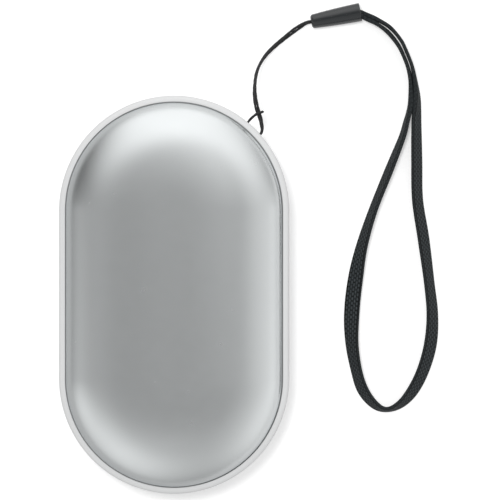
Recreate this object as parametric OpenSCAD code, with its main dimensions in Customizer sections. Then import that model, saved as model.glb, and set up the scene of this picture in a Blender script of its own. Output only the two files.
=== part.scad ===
// Rechargeable hand warmer: two crowned aluminium covers on a white frame, with a wrist strap.
// X is the width, Y the length and Z the thickness. It lies on the flat of its back cover, at Z = 0.
// The front cover looks up, and the charging inlet, button and lights are at the -Y end.

/* [Casing] */
// Width over the frame
body_w = 61; // [59:0.5:66]
// Distance between the centres of the two round ends
straight_len = 44.5; // [40:0.5:60]
// Thickness over both covers
body_t = 26; // [25.5:0.5:30]
// Height of the frame's band
frame_h = 8; // [7.8:0.1:9]
// Outer wall of the frame
frame_wall = 1.7; // [1.5:0.1:2]
// Rounding of the band's outer edges
frame_edge_r = 1.4; // [0.8:0.1:1.5]
// Width of the ledge that carries the rim of a cover
ledge_w = 1.8; // [1.6:0.1:2.4]
// Thickness of that ledge
ledge_t = 0.9; // [0.7:0.1:0.95]
// Depth of the seat below the edge of the band
seat_depth = 1.4; // [1.2:0.1:1.5]

/* [Covers] */
// Wall of the aluminium covers
cover_wall = 0.9; // [0.6:0.1:1]
// Gap between a cover and the frame
cover_gap = 0.3; // [0.2:0.05:0.4]
// Height of the straight skirt at the rim
skirt_h = 1.4; // [1.2:0.1:1.8]
// Width of the flat in the middle of the crown
flat_w = 10; // [8:1:14]
// Width of the rounded shoulder, from the rim to the crown
shoulder_w = 13; // [11.5:0.5:14]
// Slope of the crown where the shoulder begins, in degrees
crown_tilt = 7; // [5:0.5:8]
// Slope of the shoulder where the tighter rim bend begins, in degrees
shoulder_tilt = 45; // [40:1:48]
// Thickness of the seal under the rim
seal_t = 0.3; // [0.2:0.05:0.4]
// Height of the seal's lip in the gap
seal_lip_h = 0.6; // [0.4:0.1:0.7]

/* [Strap tunnel] */
// Direction of the tunnel from the centre of the +Y end, in degrees above +X
tunnel_angle = 46; // [30:1:60]
// Distance between the two holes
tunnel_pitch = 4.5; // [4:0.1:5]
// Diameter of the holes
tunnel_d = 1.8; // [1.6:0.1:2]
// Wall left round the tunnel
tunnel_wall = 0.9; // [0.8:0.1:1.2]

/* [Battery and chassis] */
// Thickness of one pouch cell
cell_t = 6.8; // [5:0.1:6.9]
// Thickness of the tape between the cells
tape_t = 0.3; // [0.2:0.1:0.5]
// Clearance round the cells in their tray
cell_gap = 0.2; // [0.1:0.05:0.4]
// Room for the tabs between the cells and the protection board
tab_room = 2.5; // [2:0.1:3]
// Wall of the tray
tray_wall = 1.2; // [1:0.1:1.4]
// Floor of the tray
tray_floor = 0.8; // [0.6:0.1:0.9]
// Height of the tray's walls above the middle plane
tray_rise = 5; // [4:0.5:5.5]
// How far the tray runs past the centre of the +Y end
tray_reach = 11; // [8:0.5:11.5]
// Length of the screw lugs of the frame, inwards from the ledge
lug_len = 3.6; // [3.4:0.1:4]
// Width of the screw lugs
lug_w = 4.4; // [4:0.1:5]
// Distance of the lugs from the middle of the body
lug_y = 14; // [10:0.5:16]
// Clearance between the tray and the lugs
tray_gap = 1; // [0.8:0.1:1.2]
// Thickness of the chassis ears and of its deck
ear_t = 1.3; // [1.1:0.1:1.4]

/* [Screws] */
// Diameter of the screw shanks
screw_d = 1.6; // [1.4:0.1:1.7]
// Diameter of the screw heads
screw_head_d = 3; // [2.6:0.1:3.2]
// Height of the screw heads
screw_head_h = 0.9; // [0.7:0.1:1]
// How much narrower the pilot holes are than the shanks
screw_bite = 0.2; // [0.1:0.05:0.3]
// How much wider the clearance holes are than the shanks
screw_play = 0.4; // [0.3:0.05:0.5]
// Depth to which the screws reach past what they clamp
screw_reach = 2.4; // [1.5:0.1:2.6]

/* [Heating] */
// Half width of the heater films
heater_r = 14.5; // [10:0.5:15]
// Thickness of the heater films
heater_t = 0.25; // [0.15:0.05:0.4]
// Bond line between film and cover
heater_bond = 0.05; // [0.05:0.05:0.1]
// Width of the insulation pads
pad_w = 36; // [30:1:38]
// Clearance over the insulation pads
pad_gap = 0.2; // [0.1:0.05:0.4]
// Size of the temperature sensors along X, Y and Z
sensor_size = [2.4, 1.6, 1.1];
// Distance of the sensors from the centre of the -Y end, towards the middle
sensor_y = 5; // [4.5:0.5:6]

/* [Main board] */
// Thickness of the main board
board_t = 1.2; // [0.8:0.1:1.2]
// Clearance between the board's edge and the ledge
board_gap = 0.8; // [0.5:0.1:1.2]
// Clearance between the board and the tray
board_tray_gap = 1.6; // [1.4:0.1:2]
// Height of the posts that carry the board
post_h = 1.6; // [1.2:0.1:2]
// Diameter of those posts
post_d = 3.6; // [3.2:0.1:4]
// Distance of the board's screws from the middle plane of the body
post_x = 19; // [17:0.5:20]

/* [Charging inlet] */
// Width of the inlet's shell
inlet_w = 8.94; // [8.8:0.02:9.1]
// Height of the inlet's shell
inlet_h = 3.2; // [3:0.05:3.3]
// Length of the inlet's shell
inlet_len = 7.4; // [6.5:0.1:8]
// Wall of the inlet's shell
inlet_wall = 0.3; // [0.2:0.05:0.35]
// Clearance between the shell and its opening in the frame
inlet_gap = 0.2; // [0.15:0.05:0.3]
// How far the inlet's mouth lies behind the outside of the frame
inlet_recess = 0.9; // [0.7:0.1:1.2]
// Width of the tongue in the inlet
tongue_w = 6.7; // [6:0.1:7]
// Thickness of the tongue
tongue_t = 0.7; // [0.5:0.1:0.8]
// Distance from the mouth to the tip of the tongue
tongue_set = 1.2; // [0.8:0.1:1.5]

/* [Power button and lights] */
// Direction of the button from the centre of the -Y end, in degrees from -Y towards -X
button_angle = 24; // [22:1:30]
// Width of the button
button_w = 7.5; // [6:0.5:8]
// Height of the button
button_h = 3; // [2.4:0.1:3]
// Clearance round the button
button_gap = 0.15; // [0.1:0.05:0.2]
// How far the button stands proud of the frame
button_proud = 0.15; // [0:0.05:0.3]
// Travel of the button
button_travel = 0.3; // [0.2:0.05:0.4]
// Width of the wings that hold the button in the frame
button_wing = 1; // [0.8:0.1:1.2]
// Size of the switch's body, across, inwards and up
switch_size = [6, 3.4, 3];
// Direction of the first light, in degrees from -Y towards +X
light_angle = 15; // [14:1:20]
// Angle between two lights
light_step = 4; // [4:0.5:5]
// Number of lights
light_count = 4; // [3:1:5]
// Diameter of the lights' windows
light_d = 1.2; // [0.8:0.1:1.4]

/* [Strap] */
// Diameter of the thin cord
cord_d = 0.7; // [0.6:0.05:0.72]
// Distance between the two strands of the doubled cord
cord_pitch = 0.76; // [0.76:0.02:0.8]
// Length of the bead that joins cord and band
bead_len = 13.6; // [13.2:0.1:14]
// Diameter of the bead at the cord
bead_d1 = 3.6; // [3.2:0.1:3.8]
// Diameter of the bead at the band
bead_d2 = 4.9; // [4.6:0.1:5.2]
// How far the bead's side swells past a straight taper
bead_swell = 0.12; // [0:0.02:0.2]
// Depth of the mouth in the bead's wide end
mouth_depth = 0.8; // [0.6:0.1:1]
// Thickness of the woven band
band_t = 0.9; // [0.7:0.05:0.9]

/* [Hidden] */

// A true circle for everything round
$fn = 96;
// How far a cutting shape runs past what it cuts
past = 1;

// Casing, measured from the middle plane
mid_z = body_t / 2;
body_r = body_w / 2;
end_y = straight_len / 2;
frame_in_r = body_r - frame_wall;
ledge_in_r = frame_in_r - ledge_w;
seat_z = frame_h / 2 - seat_depth;
channel_z = seat_z - ledge_t;

// A cover's outline: flat, crown arc, shoulder arc, rim bend and skirt, each tangent to the next
cover_r = frame_in_r - cover_gap;
foot_z = seat_z + seal_t;
skirt_z = foot_z + skirt_h;
flat_r = flat_w / 2;
crown_end_r = cover_r - shoulder_w;
crown_r = (crown_end_r - flat_r) / sin(crown_tilt);
crown_drop = crown_r * (1 - cos(crown_tilt));
bend_run = cover_r - crown_end_r;
bend_fall = mid_z - crown_drop - skirt_z;
arc_a = sin(shoulder_tilt) - sin(crown_tilt);
arc_b = 1 - sin(shoulder_tilt);
arc_c = cos(crown_tilt) - cos(shoulder_tilt);
arc_d = cos(shoulder_tilt);
arc_det = arc_a * arc_d - arc_b * arc_c;
shoulder_r = (bend_run * arc_d - arc_b * bend_fall) / arc_det;
rim_r = (arc_a * bend_fall - arc_c * bend_run) / arc_det;
crown_centre = [flat_r, mid_z - crown_r];
shoulder_centre = crown_centre + (crown_r - shoulder_r) * [sin(crown_tilt), cos(crown_tilt)];
rim_centre = shoulder_centre + (shoulder_r - rim_r) * [sin(shoulder_tilt), cos(shoulder_tilt)];

// Seal
seal_play = 0.05;
seal_inset = 0.4;

// Strap tunnel: a half ring behind the bar, with a straight mouth at each end
tunnel_r = tunnel_pitch / 2;
tunnel_x = body_r - 0.1;
tunnel_boss_in = tunnel_x - tunnel_r - tunnel_d / 2 - tunnel_wall;
tunnel_boss_w = tunnel_pitch + tunnel_d + 2 * tunnel_wall;

// Battery and chassis
stack_half = cell_t + tape_t / 2;
tray_x = ledge_in_r - lug_len - tray_gap;
tray_corner_r = 3.2;
board_r = ledge_in_r - board_gap;
board_top_z = -inlet_h / 2;
board_under_z = board_top_z - board_t;
deck_top_z = board_under_z - post_h;
deck_r = board_r + 0.1;
board_edge_y = -end_y + 0.7;
tray_y0 = board_edge_y + board_tray_gap;
tray_y1 = end_y + tray_reach;
cell_w = 2 * (tray_x - tray_wall - cell_gap);
cell_y1 = tray_y1 - tray_wall - cell_gap;
protection_t = 0.8;
protection_y = tray_y0 + tray_wall + cell_gap;
cell_y0 = protection_y + protection_t + tab_room;
cell_corner_r = 2;
lug_x = ledge_in_r - lug_len / 2;
ear_top_z = -seat_z;

// Insulation pads
pad_y0 = cell_y0 + 1;
pad_y1 = cell_y1 - 1;
pad_corner_r = 5;

// Sensors
sensor_place_y = -end_y + sensor_y;
back_sensor_x = 4.5;

// Parts on the main board, placed from the centre of the -Y end
chips = [[[-3, -9], [4, 4, 0.8]], [[7, -10], [5, 4.4, 1]], [[2, -17], [3, 3, 0.8]]];
inductor_place = [-11, -10];
inductor_size = [6, 6, 0.6];
inductor_core_d = 5.6;
inductor_core_h = 2.8;
small_capacitors = [[-5, -13.4], [1.2, 2, 1]];
small_capacitor_step = 2.4;
large_capacitors = [[12, -14], [1.6, 3.2, 1.6]];
large_capacitor_step = 3;
heater_switch_size = [3, 3, 1.1];
heater_switch_y = -8;
// Clearance between the charger's chip and the heater switches, and between those
heater_switch_gap = 1.5;
heater_switch_x = chips[1][0][0] + chips[1][1][0] / 2 + heater_switch_gap + heater_switch_size[0] / 2;

// Leads and the sockets that take them
lead_d = 0.8;
lead_sides = 6;
socket_size = [4.6, 2.6, 2.8];
socket_x = [-14, -7, 0, 7, 14];
socket_y = board_edge_y - 0.4;
lead_pitch = 1.3;
lead_run_y = (board_edge_y + tray_y0) / 2 + 0.1;
// How far past the centre of the -Y end the leads reach the heaters, and the back pair's step to -X
heater_lead_in = 8;
back_heater_lead_step = 6;

// Button, switch and lights, placed on radii from the centre of the -Y end
wing_r1 = frame_in_r - button_gap;
wing_t = 0.8;
switch_front_r = board_r - 0.5;
plunger_out = 1.2;
plunger_size = [2.4, 1.2];
plunger_in = 0.8;
stem_size = [2.2, 1.8];
guide_t = 0.75;
led_size = [1.6, 1, 1.2];
led_gap = 0.3;

// Bead: it lies on its side, so its axis rises towards the wide end by half the taper
bead_place = [36.6, 73.45];
bead_turn = 11;
bead_rise = atan((bead_d2 - bead_d1) / 2 / bead_len);
bead_round_r = 0.8;
bead_rows = 6;
mouth_d = bead_d2 - 0.8;

// The doubled cord's route from the tunnel to the bead: the middle of the pair and its turn,
// which is 90 where one strand lies over the other and 0 where they lie side by side
cord_route = [[23.3, 43.6, 13, 76], [23.2, 45.2, 13, 62], [22.8, 47, 13, 45], [21.9, 49.8, 12.9, 32],
              [21.4, 53, 12, 48], [21.4, 56, 10.1, 70], [21.8, 59, 7.7, 73], [22.8, 61.8, 5.2, 80],
              [24.5, 64.5, 3, 66], [26.8, 66.9, 1.6, 54], [29.5, 69.2, 0.8, 46], [32.2, 71.3, 0.8, 25],
              [34.4, 72.7, 1.4, 50]];
// Turn of the pair in the bead
cord_end_turn = 70;
// The hitch: one leg of the loop passes over the pair, turns and comes back under it
hitch_route = [[20.4, 46.8, 0.6], [21.3, 47.6, 1], [22.3, 48.2, 1.15], [23.2, 48.5, 0.9], [23.5, 48.6, 0]];
// The band's route in plan, with its tilt from flat and its width, once round the hand loop
band_route = [[51.5, 75.4, 88, 3.2], [54.6, 73.95, 87, 4], [58, 71.8, 87, 4.4], [60.85, 68.4, 84, 4.4],
              [62.3, 65.4, 86, 4.4], [63.75, 61.7, 85, 4.4], [64.55, 58, 82, 4.4],
              [65.05, 54, 77, 4.4], [65.1, 50.6, 69, 4.4], [65, 46, 57, 4.4], [65.1, 36, 50, 4.4],
              [65.3, 25.5, 50, 4.4], [66.9, 15, 46, 4.4], [68.4, 3.5, 53, 4.4], [69.3, -5.5, 47, 4.4],
              [68.8, -13.5, 39, 4.4], [66.8, -20.6, 42, 4.4], [64, -26.1, 47, 4.4],
              [60.7, -29.7, 64, 4.4], [57, -31.2, 79, 4.4], [53.7, -29.9, 66, 4.4],
              [50.6, -26, 53, 4.4], [48.8, -20.5, 54, 4.4], [47.6, -13, 42, 4.4], [47.6, -5, 23, 4.4],
              [48.5, 3.5, 26, 4.4], [50.2, 12.5, 51, 4.4], [53.3, 22.5, 67, 4.4],
              [57.6, 33.3, 68, 4.4], [61.1, 42.1, 76, 4.4], [62.2, 46, 80, 4.4],
              [63.35, 50.55, 88, 4.4], [63.5, 54, 93, 4.4], [63.4, 57.9, 97, 4.4],
              [62.65, 61.3, 96, 4.4], [61.25, 64.9, 96, 4.4], [59.75, 67.65, 98, 4.4],
              [57.2, 70.7, 99, 4.4], [54.15, 72.95, 95, 4], [51.2, 74.4, 94, 3.2]];
// Width of the band where it is gathered into the bead
band_end_w = 2.6;
// Sideways places of the two ends of the band, at the floor of the mouth and at its rim
band_end_side = [0.4, -0.6];
band_rim_side = [0, -1];

// Helpers

// A rounded slot, w wide over its round ends and h high
module oblong(w, h) {
    square([w - h, h], center = true);
    for (s = [-1, 1])
        translate([s * (w - h) / 2, 0])
            circle(d = h);
}

// A rectangle from the corner [x0, y0] to [x1, y1] with rounded corners
module rounded_plan(x0, y0, x1, y1, r) {
    translate([x0 + r, y0])
        square([x1 - x0 - 2 * r, y1 - y0]);
    translate([x0, y0 + r])
        square([x1 - x0, y1 - y0 - 2 * r]);
    for (x = [x0 + r, x1 - r], y = [y0 + r, y1 - r])
        translate([x, y])
            circle(r = r);
}

// The body's outline in plan, at the radius r
module stadium(r) {
    square([2 * r, straight_len], center = true);
    for (s = [-1, 1])
        translate([0, s * end_y])
            circle(r = r);
}

// Carries a profile, drawn in radius and height, round the body's outline
module stadium_ring() {
    for (turn = [0, 180])
        rotate([0, 0, turn]) {
            translate([0, end_y, 0])
                rotate_extrude(angle = 180)
                    children();
            translate([0, end_y, 0])
                rotate([90, 0, 0])
                    linear_extrude(straight_len)
                        children();
        }
}

// The same for the middle plane's other side
module back_side() {
    mirror([0, 0, 1])
        children();
}

// Lifts what is drawn about the middle plane to its place above the ground
module lifted() {
    translate([0, 0, mid_z])
        children();
}

// Turns children about the centre of the -Y end, from -Y towards +X, their -Y pointing outwards
module at_end(angle) {
    translate([0, -end_y, 0])
        rotate([0, 0, angle])
            children();
}

// A plate in the XZ plane from the radius r0 out to r1, its outline given by the children
module outward(r0, r1) {
    translate([0, -r0, 0])
        rotate([90, 0, 0])
            linear_extrude(r1 - r0)
                children();
}

// Ring between two radii about the centre of an end
module ring(r0, r1, h) {
    difference() {
        cylinder(r = r1, h = h, center = true);
        cylinder(r = r0, h = h + 2 * past, center = true);
    }
}

// Sweeps

function unit(v) = v / norm(v);

// Direction of a route at its point i
function heading(p, i) = unit(p[min(i + 1, len(p) - 1)] - p[max(i - 1, 0)]);

// A side vector for each point, carried along the route without twist
function carried(p, i, n) =
    i >= len(p) ? [] :
    let (t = heading(p, i), m = n - (n * t) * t, u = unit(m))
    concat([u], carried(p, i + 1, u));

// Rings of points of a round tube along the route
function tube_points(p, d, sides, side) =
    let (u = carried(p, 0, side))
    [for (i = [0 : len(p) - 1])
        let (v = cross(heading(p, i), u[i]))
        for (k = [0 : sides - 1])
            let (a = 360 * k / sides)
            p[i] + d / 2 * (cos(a) * u[i] + sin(a) * v)];

// Faces between rings of points, with both ends closed
function tube_faces(rings, sides) =
    concat(
        [[for (k = [0 : sides - 1]) k]],
        [for (i = [0 : rings - 2], k = [0 : sides - 1], half = [0, 1])
            let (a = i * sides + k, b = i * sides + (k + 1) % sides)
            half == 0 ? [a, a + sides, b + sides] : [a, b + sides, b]],
        [[for (k = [sides - 1 : -1 : 0]) (rings - 1) * sides + k]]);

module tube(p, d, sides, side) {
    polyhedron(points = tube_points(p, d, sides, side), faces = tube_faces(len(p), sides));
}

// Casing

// Region under a cover's surface, set in by inset, from the height low up to the surface
module cover_region(inset, low) {
    r1 = crown_centre[0] + (crown_r - inset) * sin(crown_tilt);
    r2 = shoulder_centre[0] + (shoulder_r - inset) * sin(shoulder_tilt);
    r3 = cover_r - inset;
    translate([0, low])
        square([flat_r, mid_z - inset - low]);
    intersection() {
        translate(crown_centre)
            circle(r = crown_r - inset, $fn = 720);
        translate([flat_r, low])
            square([r1 - flat_r, mid_z - low]);
    }
    intersection() {
        translate(shoulder_centre)
            circle(r = shoulder_r - inset, $fn = 360);
        translate([r1, low])
            square([r2 - r1, mid_z - low]);
    }
    intersection() {
        translate(rim_centre)
            circle(r = rim_r - inset);
        translate([r2, skirt_z])
            square([r3 - r2, mid_z - skirt_z]);
    }
    translate([r2, low])
        square([r3 - r2, skirt_z - low]);
}

// Solid under the covers' surface set in by inset, from the height low up
module cover_solid(inset, low) {
    for (turn = [0, 180])
        rotate([0, 0, turn])
            translate([0, end_y, 0])
                rotate_extrude(angle = 180)
                    cover_region(inset, low);
    translate([0, end_y, 0])
        rotate([90, 0, 0])
            linear_extrude(straight_len) {
                cover_region(inset, low);
                mirror([1, 0])
                    cover_region(inset, low);
            }
}

module cover() {
    difference() {
        cover_solid(0, foot_z);
        cover_solid(cover_wall, foot_z - past);
    }
}

module front_cover() {
    color("#b9bdbf")
        lifted()
            cover();
}

module back_cover() {
    color("#b9bdbf")
        lifted()
            back_side()
                cover();
}

// Band with rounded outer edges and the two ledges behind it
module frame_profile() {
    edge_x = body_r - frame_edge_r;
    edge_z = frame_h / 2 - frame_edge_r;
    intersection() {
        union() {
            translate([frame_in_r - past, -frame_h / 2])
                square([edge_x - frame_in_r + past, frame_h]);
            translate([frame_in_r - past, -edge_z])
                square([frame_wall + past, 2 * edge_z]);
            for (s = [-1, 1])
                translate([edge_x, s * edge_z])
                    circle(r = frame_edge_r);
        }
        translate([frame_in_r, -frame_h / 2])
            square([frame_wall, frame_h]);
    }
    for (s = [-1, 1])
        translate([ledge_in_r, s * (seat_z - ledge_t / 2) - ledge_t / 2])
            square([ledge_w, ledge_t]);
}

// Four blocks between the ledges that take the chassis screws
module frame_lugs() {
    out_x = frame_in_r + frame_wall / 2;
    for (side = [0, 1], y = [-lug_y, lug_y])
        mirror([side, 0, 0])
            translate([ledge_in_r - lug_len, y - lug_w / 2, -seat_z])
                cube([out_x - ledge_in_r + lug_len, lug_w, seat_z + channel_z]);
}

module frame_lug_holes() {
    for (sx = [-1, 1], sy = [-1, 1])
        translate([sx * lug_x, sy * lug_y, 0])
            cylinder(d = screw_d - screw_bite, h = frame_h, center = true);
}

// Turned so that +X runs out through the middle of the strap tunnel
module at_tunnel() {
    translate([0, end_y, 0])
        rotate([0, 0, tunnel_angle])
            children();
}

module tunnel_boss() {
    at_tunnel()
        translate([tunnel_boss_in, -tunnel_boss_w / 2, -seat_z])
            cube([frame_in_r + frame_wall / 2 - tunnel_boss_in, tunnel_boss_w, 2 * seat_z]);
}

module tunnel_bore() {
    at_tunnel()
        translate([tunnel_x, 0, 0]) {
            rotate([0, 0, 90])
                rotate_extrude(angle = 180)
                    translate([tunnel_r, 0])
                        circle(d = tunnel_d);
            for (s = [-1, 1])
                translate([0, s * tunnel_r, 0])
                    rotate([0, 90, 0])
                        cylinder(d = tunnel_d, h = past);
        }
}

module frame_openings() {
    at_end(0)
        outward(ledge_in_r - past, body_r + past)
            oblong(inlet_w + 2 * inlet_gap, inlet_h + 2 * inlet_gap);
    at_end(-button_angle)
        outward(ledge_in_r - past, body_r + past)
            oblong(button_w + 2 * button_gap, button_h + 2 * button_gap);
    for (i = [0 : light_count - 1])
        at_end(light_angle + i * light_step)
            outward(frame_in_r - past, body_r + past)
                circle(d = light_d + 0.1);
}

module mid_frame() {
    color("#eceeee")
        lifted()
            difference() {
                union() {
                    stadium_ring()
                        frame_profile();
                    frame_lugs();
                    tunnel_boss();
                }
                frame_lug_holes();
                tunnel_bore();
                frame_openings();
            }
}

// A flat ring under the rim with a lip that closes the gap
module seal() {
    stadium_ring() {
        translate([cover_r - cover_wall - seal_inset / 2, seat_z])
            square([frame_in_r - seal_play - cover_r + cover_wall + seal_inset / 2, seal_t]);
        translate([cover_r + seal_play, seat_z])
            square([cover_gap - 2 * seal_play, seal_t + seal_lip_h]);
    }
}

module front_seal() {
    color("#55595b")
        lifted()
            seal();
}

module back_seal() {
    color("#55595b")
        lifted()
            back_side()
                seal();
}

// Chassis

module tray() {
    low = -stack_half - tray_floor;
    difference() {
        translate([0, 0, low])
            linear_extrude(tray_rise - low)
                rounded_plan(-tray_x, tray_y0, tray_x, tray_y1, tray_corner_r);
        translate([0, 0, -stack_half])
            linear_extrude(tray_rise + stack_half + past)
                rounded_plan(-tray_x + tray_wall, tray_y0 + tray_wall, tray_x - tray_wall,
                             tray_y1 - tray_wall, tray_corner_r - tray_wall);
    }
}

module ears() {
    in_x = tray_x - tray_wall / 2;
    for (side = [0, 1], y = [-lug_y, lug_y])
        mirror([side, 0, 0])
            difference() {
                translate([in_x, y - lug_w / 2, ear_top_z - ear_t])
                    cube([ledge_in_r - in_x, lug_w, ear_t]);
                translate([lug_x, y, ear_top_z - ear_t / 2])
                    cylinder(d = screw_d + screw_play, h = ear_t + past, center = true);
            }
}

post_places = [[-post_x, -end_y - 4], [post_x, -end_y - 4], [-8, -end_y - 20], [8, -end_y - 20]];

// Deck under the board, with a slot for the leads of the back cover
module deck() {
    difference() {
        translate([0, 0, deck_top_z - ear_t])
            linear_extrude(ear_t)
                intersection() {
                    translate([0, -end_y])
                        circle(r = deck_r);
                    translate([-body_r, -end_y - body_r])
                        square([body_w, tray_y0 + tray_wall / 2 + end_y + body_r]);
                }
        translate([socket_x[3] - socket_size[0] / 2, lead_run_y - 1.2, deck_top_z - ear_t - past])
            cube([socket_x[4] - socket_x[3] + socket_size[0], tray_y0 - lead_run_y + 1.2, ear_t + 2 * past]);
    }
    for (p = post_places)
        translate([p[0], p[1], deck_top_z - ear_t / 2])
            cylinder(d = post_d, h = post_h + ear_t / 2);
}

module chassis() {
    color("#d8dadb")
        lifted()
            difference() {
                union() {
                    tray();
                    ears();
                    deck();
                }
                for (i = [0, 1])
                    translate([post_places[i][0], post_places[i][1], deck_top_z - ear_t - past])
                        cylinder(d = screw_d - screw_bite, h = post_h + ear_t + 2 * past);
            }
}

// A pan head screw, its head on the XY plane and its shank pointing down
module screw(shank) {
    rotate_extrude() {
        square([screw_head_d / 2 - screw_head_h / 3, screw_head_h]);
        square([screw_head_d / 2, screw_head_h * 2 / 3]);
        translate([screw_head_d / 2 - screw_head_h / 3, screw_head_h * 2 / 3])
            circle(r = screw_head_h / 3);
        translate([0, -shank])
            square([screw_d / 2, shank + screw_head_h / 2]);
    }
}

module chassis_screws() {
    color("#8a8d90")
        lifted()
            for (sx = [-1, 1], sy = [-1, 1])
                translate([sx * lug_x, sy * lug_y, ear_top_z - ear_t])
                    rotate([180, 0, 0])
                        screw(ear_t + screw_reach);
}

module board_screws() {
    color("#8a8d90")
        lifted()
            for (i = [0, 1])
                translate([post_places[i][0], post_places[i][1], board_top_z])
                    screw(board_t + screw_reach);
}

// Heating

// The film follows the inside of the crown
module heater() {
    outer = cover_wall + heater_bond;
    intersection() {
        difference() {
            cover_solid(outer, foot_z);
            cover_solid(outer + heater_t, foot_z - past);
        }
        linear_extrude(body_t)
            stadium(heater_r);
    }
}

module front_heater() {
    color("#b5651d")
        lifted()
            heater();
}

module back_heater() {
    color("#b5651d")
        lifted()
            back_side()
                heater();
}

sensor_top_z = mid_z - cover_wall - heater_bond - heater_t - 0.05;

module sensor(x) {
    translate([x, sensor_place_y, sensor_top_z - sensor_size[2] / 2])
        cube(sensor_size, center = true);
}

module front_sensor() {
    color("#2e2e2e")
        lifted()
            sensor(0);
}

module back_sensor() {
    color("#2e2e2e")
        lifted()
            back_side()
                sensor(back_sensor_x);
}

// A pad from the height low up to the heater film
module insulation(low) {
    intersection() {
        translate([0, 0, low])
            linear_extrude(mid_z)
                rounded_plan(-pad_w / 2, pad_y0, pad_w / 2, pad_y1, pad_corner_r);
        cover_solid(cover_wall + heater_bond + heater_t + pad_gap, foot_z);
    }
}

module front_insulation() {
    color("#3b3f42")
        lifted()
            insulation(stack_half);
}

module back_insulation() {
    color("#3b3f42")
        lifted()
            back_side()
                insulation(stack_half + tray_floor);
}

// Battery

// A pouch cell between the heights low and low + cell_t
module cell(low) {
    translate([0, 0, low])
        linear_extrude(cell_t)
            rounded_plan(-cell_w / 2, cell_y0, cell_w / 2, cell_y1, cell_corner_r);
}

module front_cell() {
    color("#c9cdd0")
        lifted()
            cell(tape_t / 2);
}

module back_cell() {
    color("#c9cdd0")
        lifted()
            cell(-stack_half);
}

module cell_tape() {
    color("#e6e2c8")
        lifted()
            translate([0, 0, -tape_t / 2])
                linear_extrude(tape_t)
                    rounded_plan(-cell_w / 2 + 6, cell_y0 + 5, cell_w / 2 - 6, cell_y1 - 5, cell_corner_r);
}

// Two tabs for each cell, reaching to the protection board
tab_x = 8;
tab_size = [4, 0.2];

module cell_tabs() {
    color("#a9adb0")
        lifted()
            for (s = [-1, 1], z = [stack_half / 2, -stack_half / 2])
                translate([s * tab_x - tab_size[0] / 2, protection_y + protection_t, z - tab_size[1] / 2])
                    cube([tab_size[0], tab_room, tab_size[1]]);
}

protection_size = [32, 9];

module protection_board() {
    color("#1f5a36")
        lifted()
            translate([-protection_size[0] / 2, protection_y, -protection_size[1] / 2])
                cube([protection_size[0], protection_t, protection_size[1]]);
}

// Leads

lead_r = lead_d / 2;
over_tray_z = tray_rise + lead_r + 0.3;
socket_mid_z = board_top_z + socket_size[2] / 2;

// From the protection board over the tray's wall and down to its socket
module battery_lead(x) {
    start_y = protection_y + protection_t / 2;
    lifted()
        tube([[x, start_y, protection_size[1] / 2],
              [x, start_y, protection_size[1] / 2 + 0.7],
              [x, tray_y0 + tray_wall / 2, over_tray_z],
              [x, tray_y0 - 0.1, over_tray_z - 0.1],
              [x, lead_run_y, over_tray_z - 1.2],
              [x, lead_run_y, socket_mid_z + 1.2],
              [x, socket_y + 0.7, socket_mid_z],
              [x, socket_y, socket_mid_z]], lead_d, lead_sides, [1, 0, 0]);
}

module battery_lead_red() {
    color("#b3202a")
        battery_lead(socket_x[0] - lead_pitch / 2);
}

module battery_lead_black() {
    color("#1b1c1e")
        battery_lead(socket_x[0] + lead_pitch / 2);
}

// A pair of leads from the socket at x, up or down to the height top and on to the place end
module lead_pair(x, top, end) {
    up = sign(top);
    way = sign(end[1] - lead_run_y);
    for (side = [-lead_pitch / 2, lead_pitch / 2])
        tube([[x + side, socket_y, socket_mid_z],
              [x + side, socket_y + 0.7, socket_mid_z],
              [x + side, lead_run_y, socket_mid_z + up * 1.2],
              [x + side, lead_run_y, top - up * 1.6],
              [x + side, lead_run_y + way * 0.5, top - up * 0.5],
              [end[0] + side, end[1] - way * lead_d, top],
              [end[0] + side, end[1], top]], lead_d, lead_sides, [1, 0, 0]);
}

heater_lead_z = sensor_top_z - lead_r - 0.3;
heater_lead_y = -end_y - heater_lead_in;
sensor_lead_z = sensor_top_z - sensor_size[2] / 2;
sensor_lead_y = sensor_place_y - sensor_size[1] / 2;

module front_heater_leads() {
    color("#d9d4c4")
        lifted()
            lead_pair(socket_x[1], heater_lead_z, [socket_x[1], heater_lead_y]);
}

module back_heater_leads() {
    color("#d9d4c4")
        lifted()
            lead_pair(socket_x[4], -heater_lead_z, [socket_x[4] - back_heater_lead_step, heater_lead_y]);
}

module front_sensor_leads() {
    color("#6d7173")
        lifted()
            lead_pair(socket_x[2], sensor_lead_z, [0, sensor_lead_y]);
}

module back_sensor_leads() {
    color("#6d7173")
        lifted()
            lead_pair(socket_x[3], -sensor_lead_z, [back_sensor_x, sensor_lead_y]);
}

// Main board

module main_board() {
    color("#1d5c3a")
        lifted()
            translate([0, 0, board_under_z])
                difference() {
                    linear_extrude(board_t)
                        intersection() {
                            translate([0, -end_y])
                                circle(r = board_r);
                            translate([-body_r, -end_y - body_r])
                                square([body_w, board_edge_y + end_y + body_r]);
                        }
                    for (i = [0, 1])
                        translate([post_places[i][0], post_places[i][1], -past])
                            cylinder(d = screw_d + screw_play, h = board_t + 2 * past);
                }
}

// A block that stands on the board, its plan centred on [x, y]
module on_board(x, y, size) {
    translate([x - size[0] / 2, y - size[1] / 2, board_top_z])
        cube(size);
}

module lead_sockets() {
    color("#e9e4d2")
        lifted()
            for (x = socket_x)
                on_board(x, socket_y - socket_size[1] / 2, socket_size);
}

module charger_chips() {
    color("#232527")
        lifted()
            for (chip = chips)
                on_board(chip[0][0], chip[0][1] - end_y, chip[1]);
}

module boost_inductor() {
    color("#3a3d40")
        lifted() {
            on_board(inductor_place[0], inductor_place[1] - end_y, inductor_size);
            translate([inductor_place[0], inductor_place[1] - end_y, board_top_z])
                cylinder(d = inductor_core_d, h = inductor_core_h);
        }
}

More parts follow.
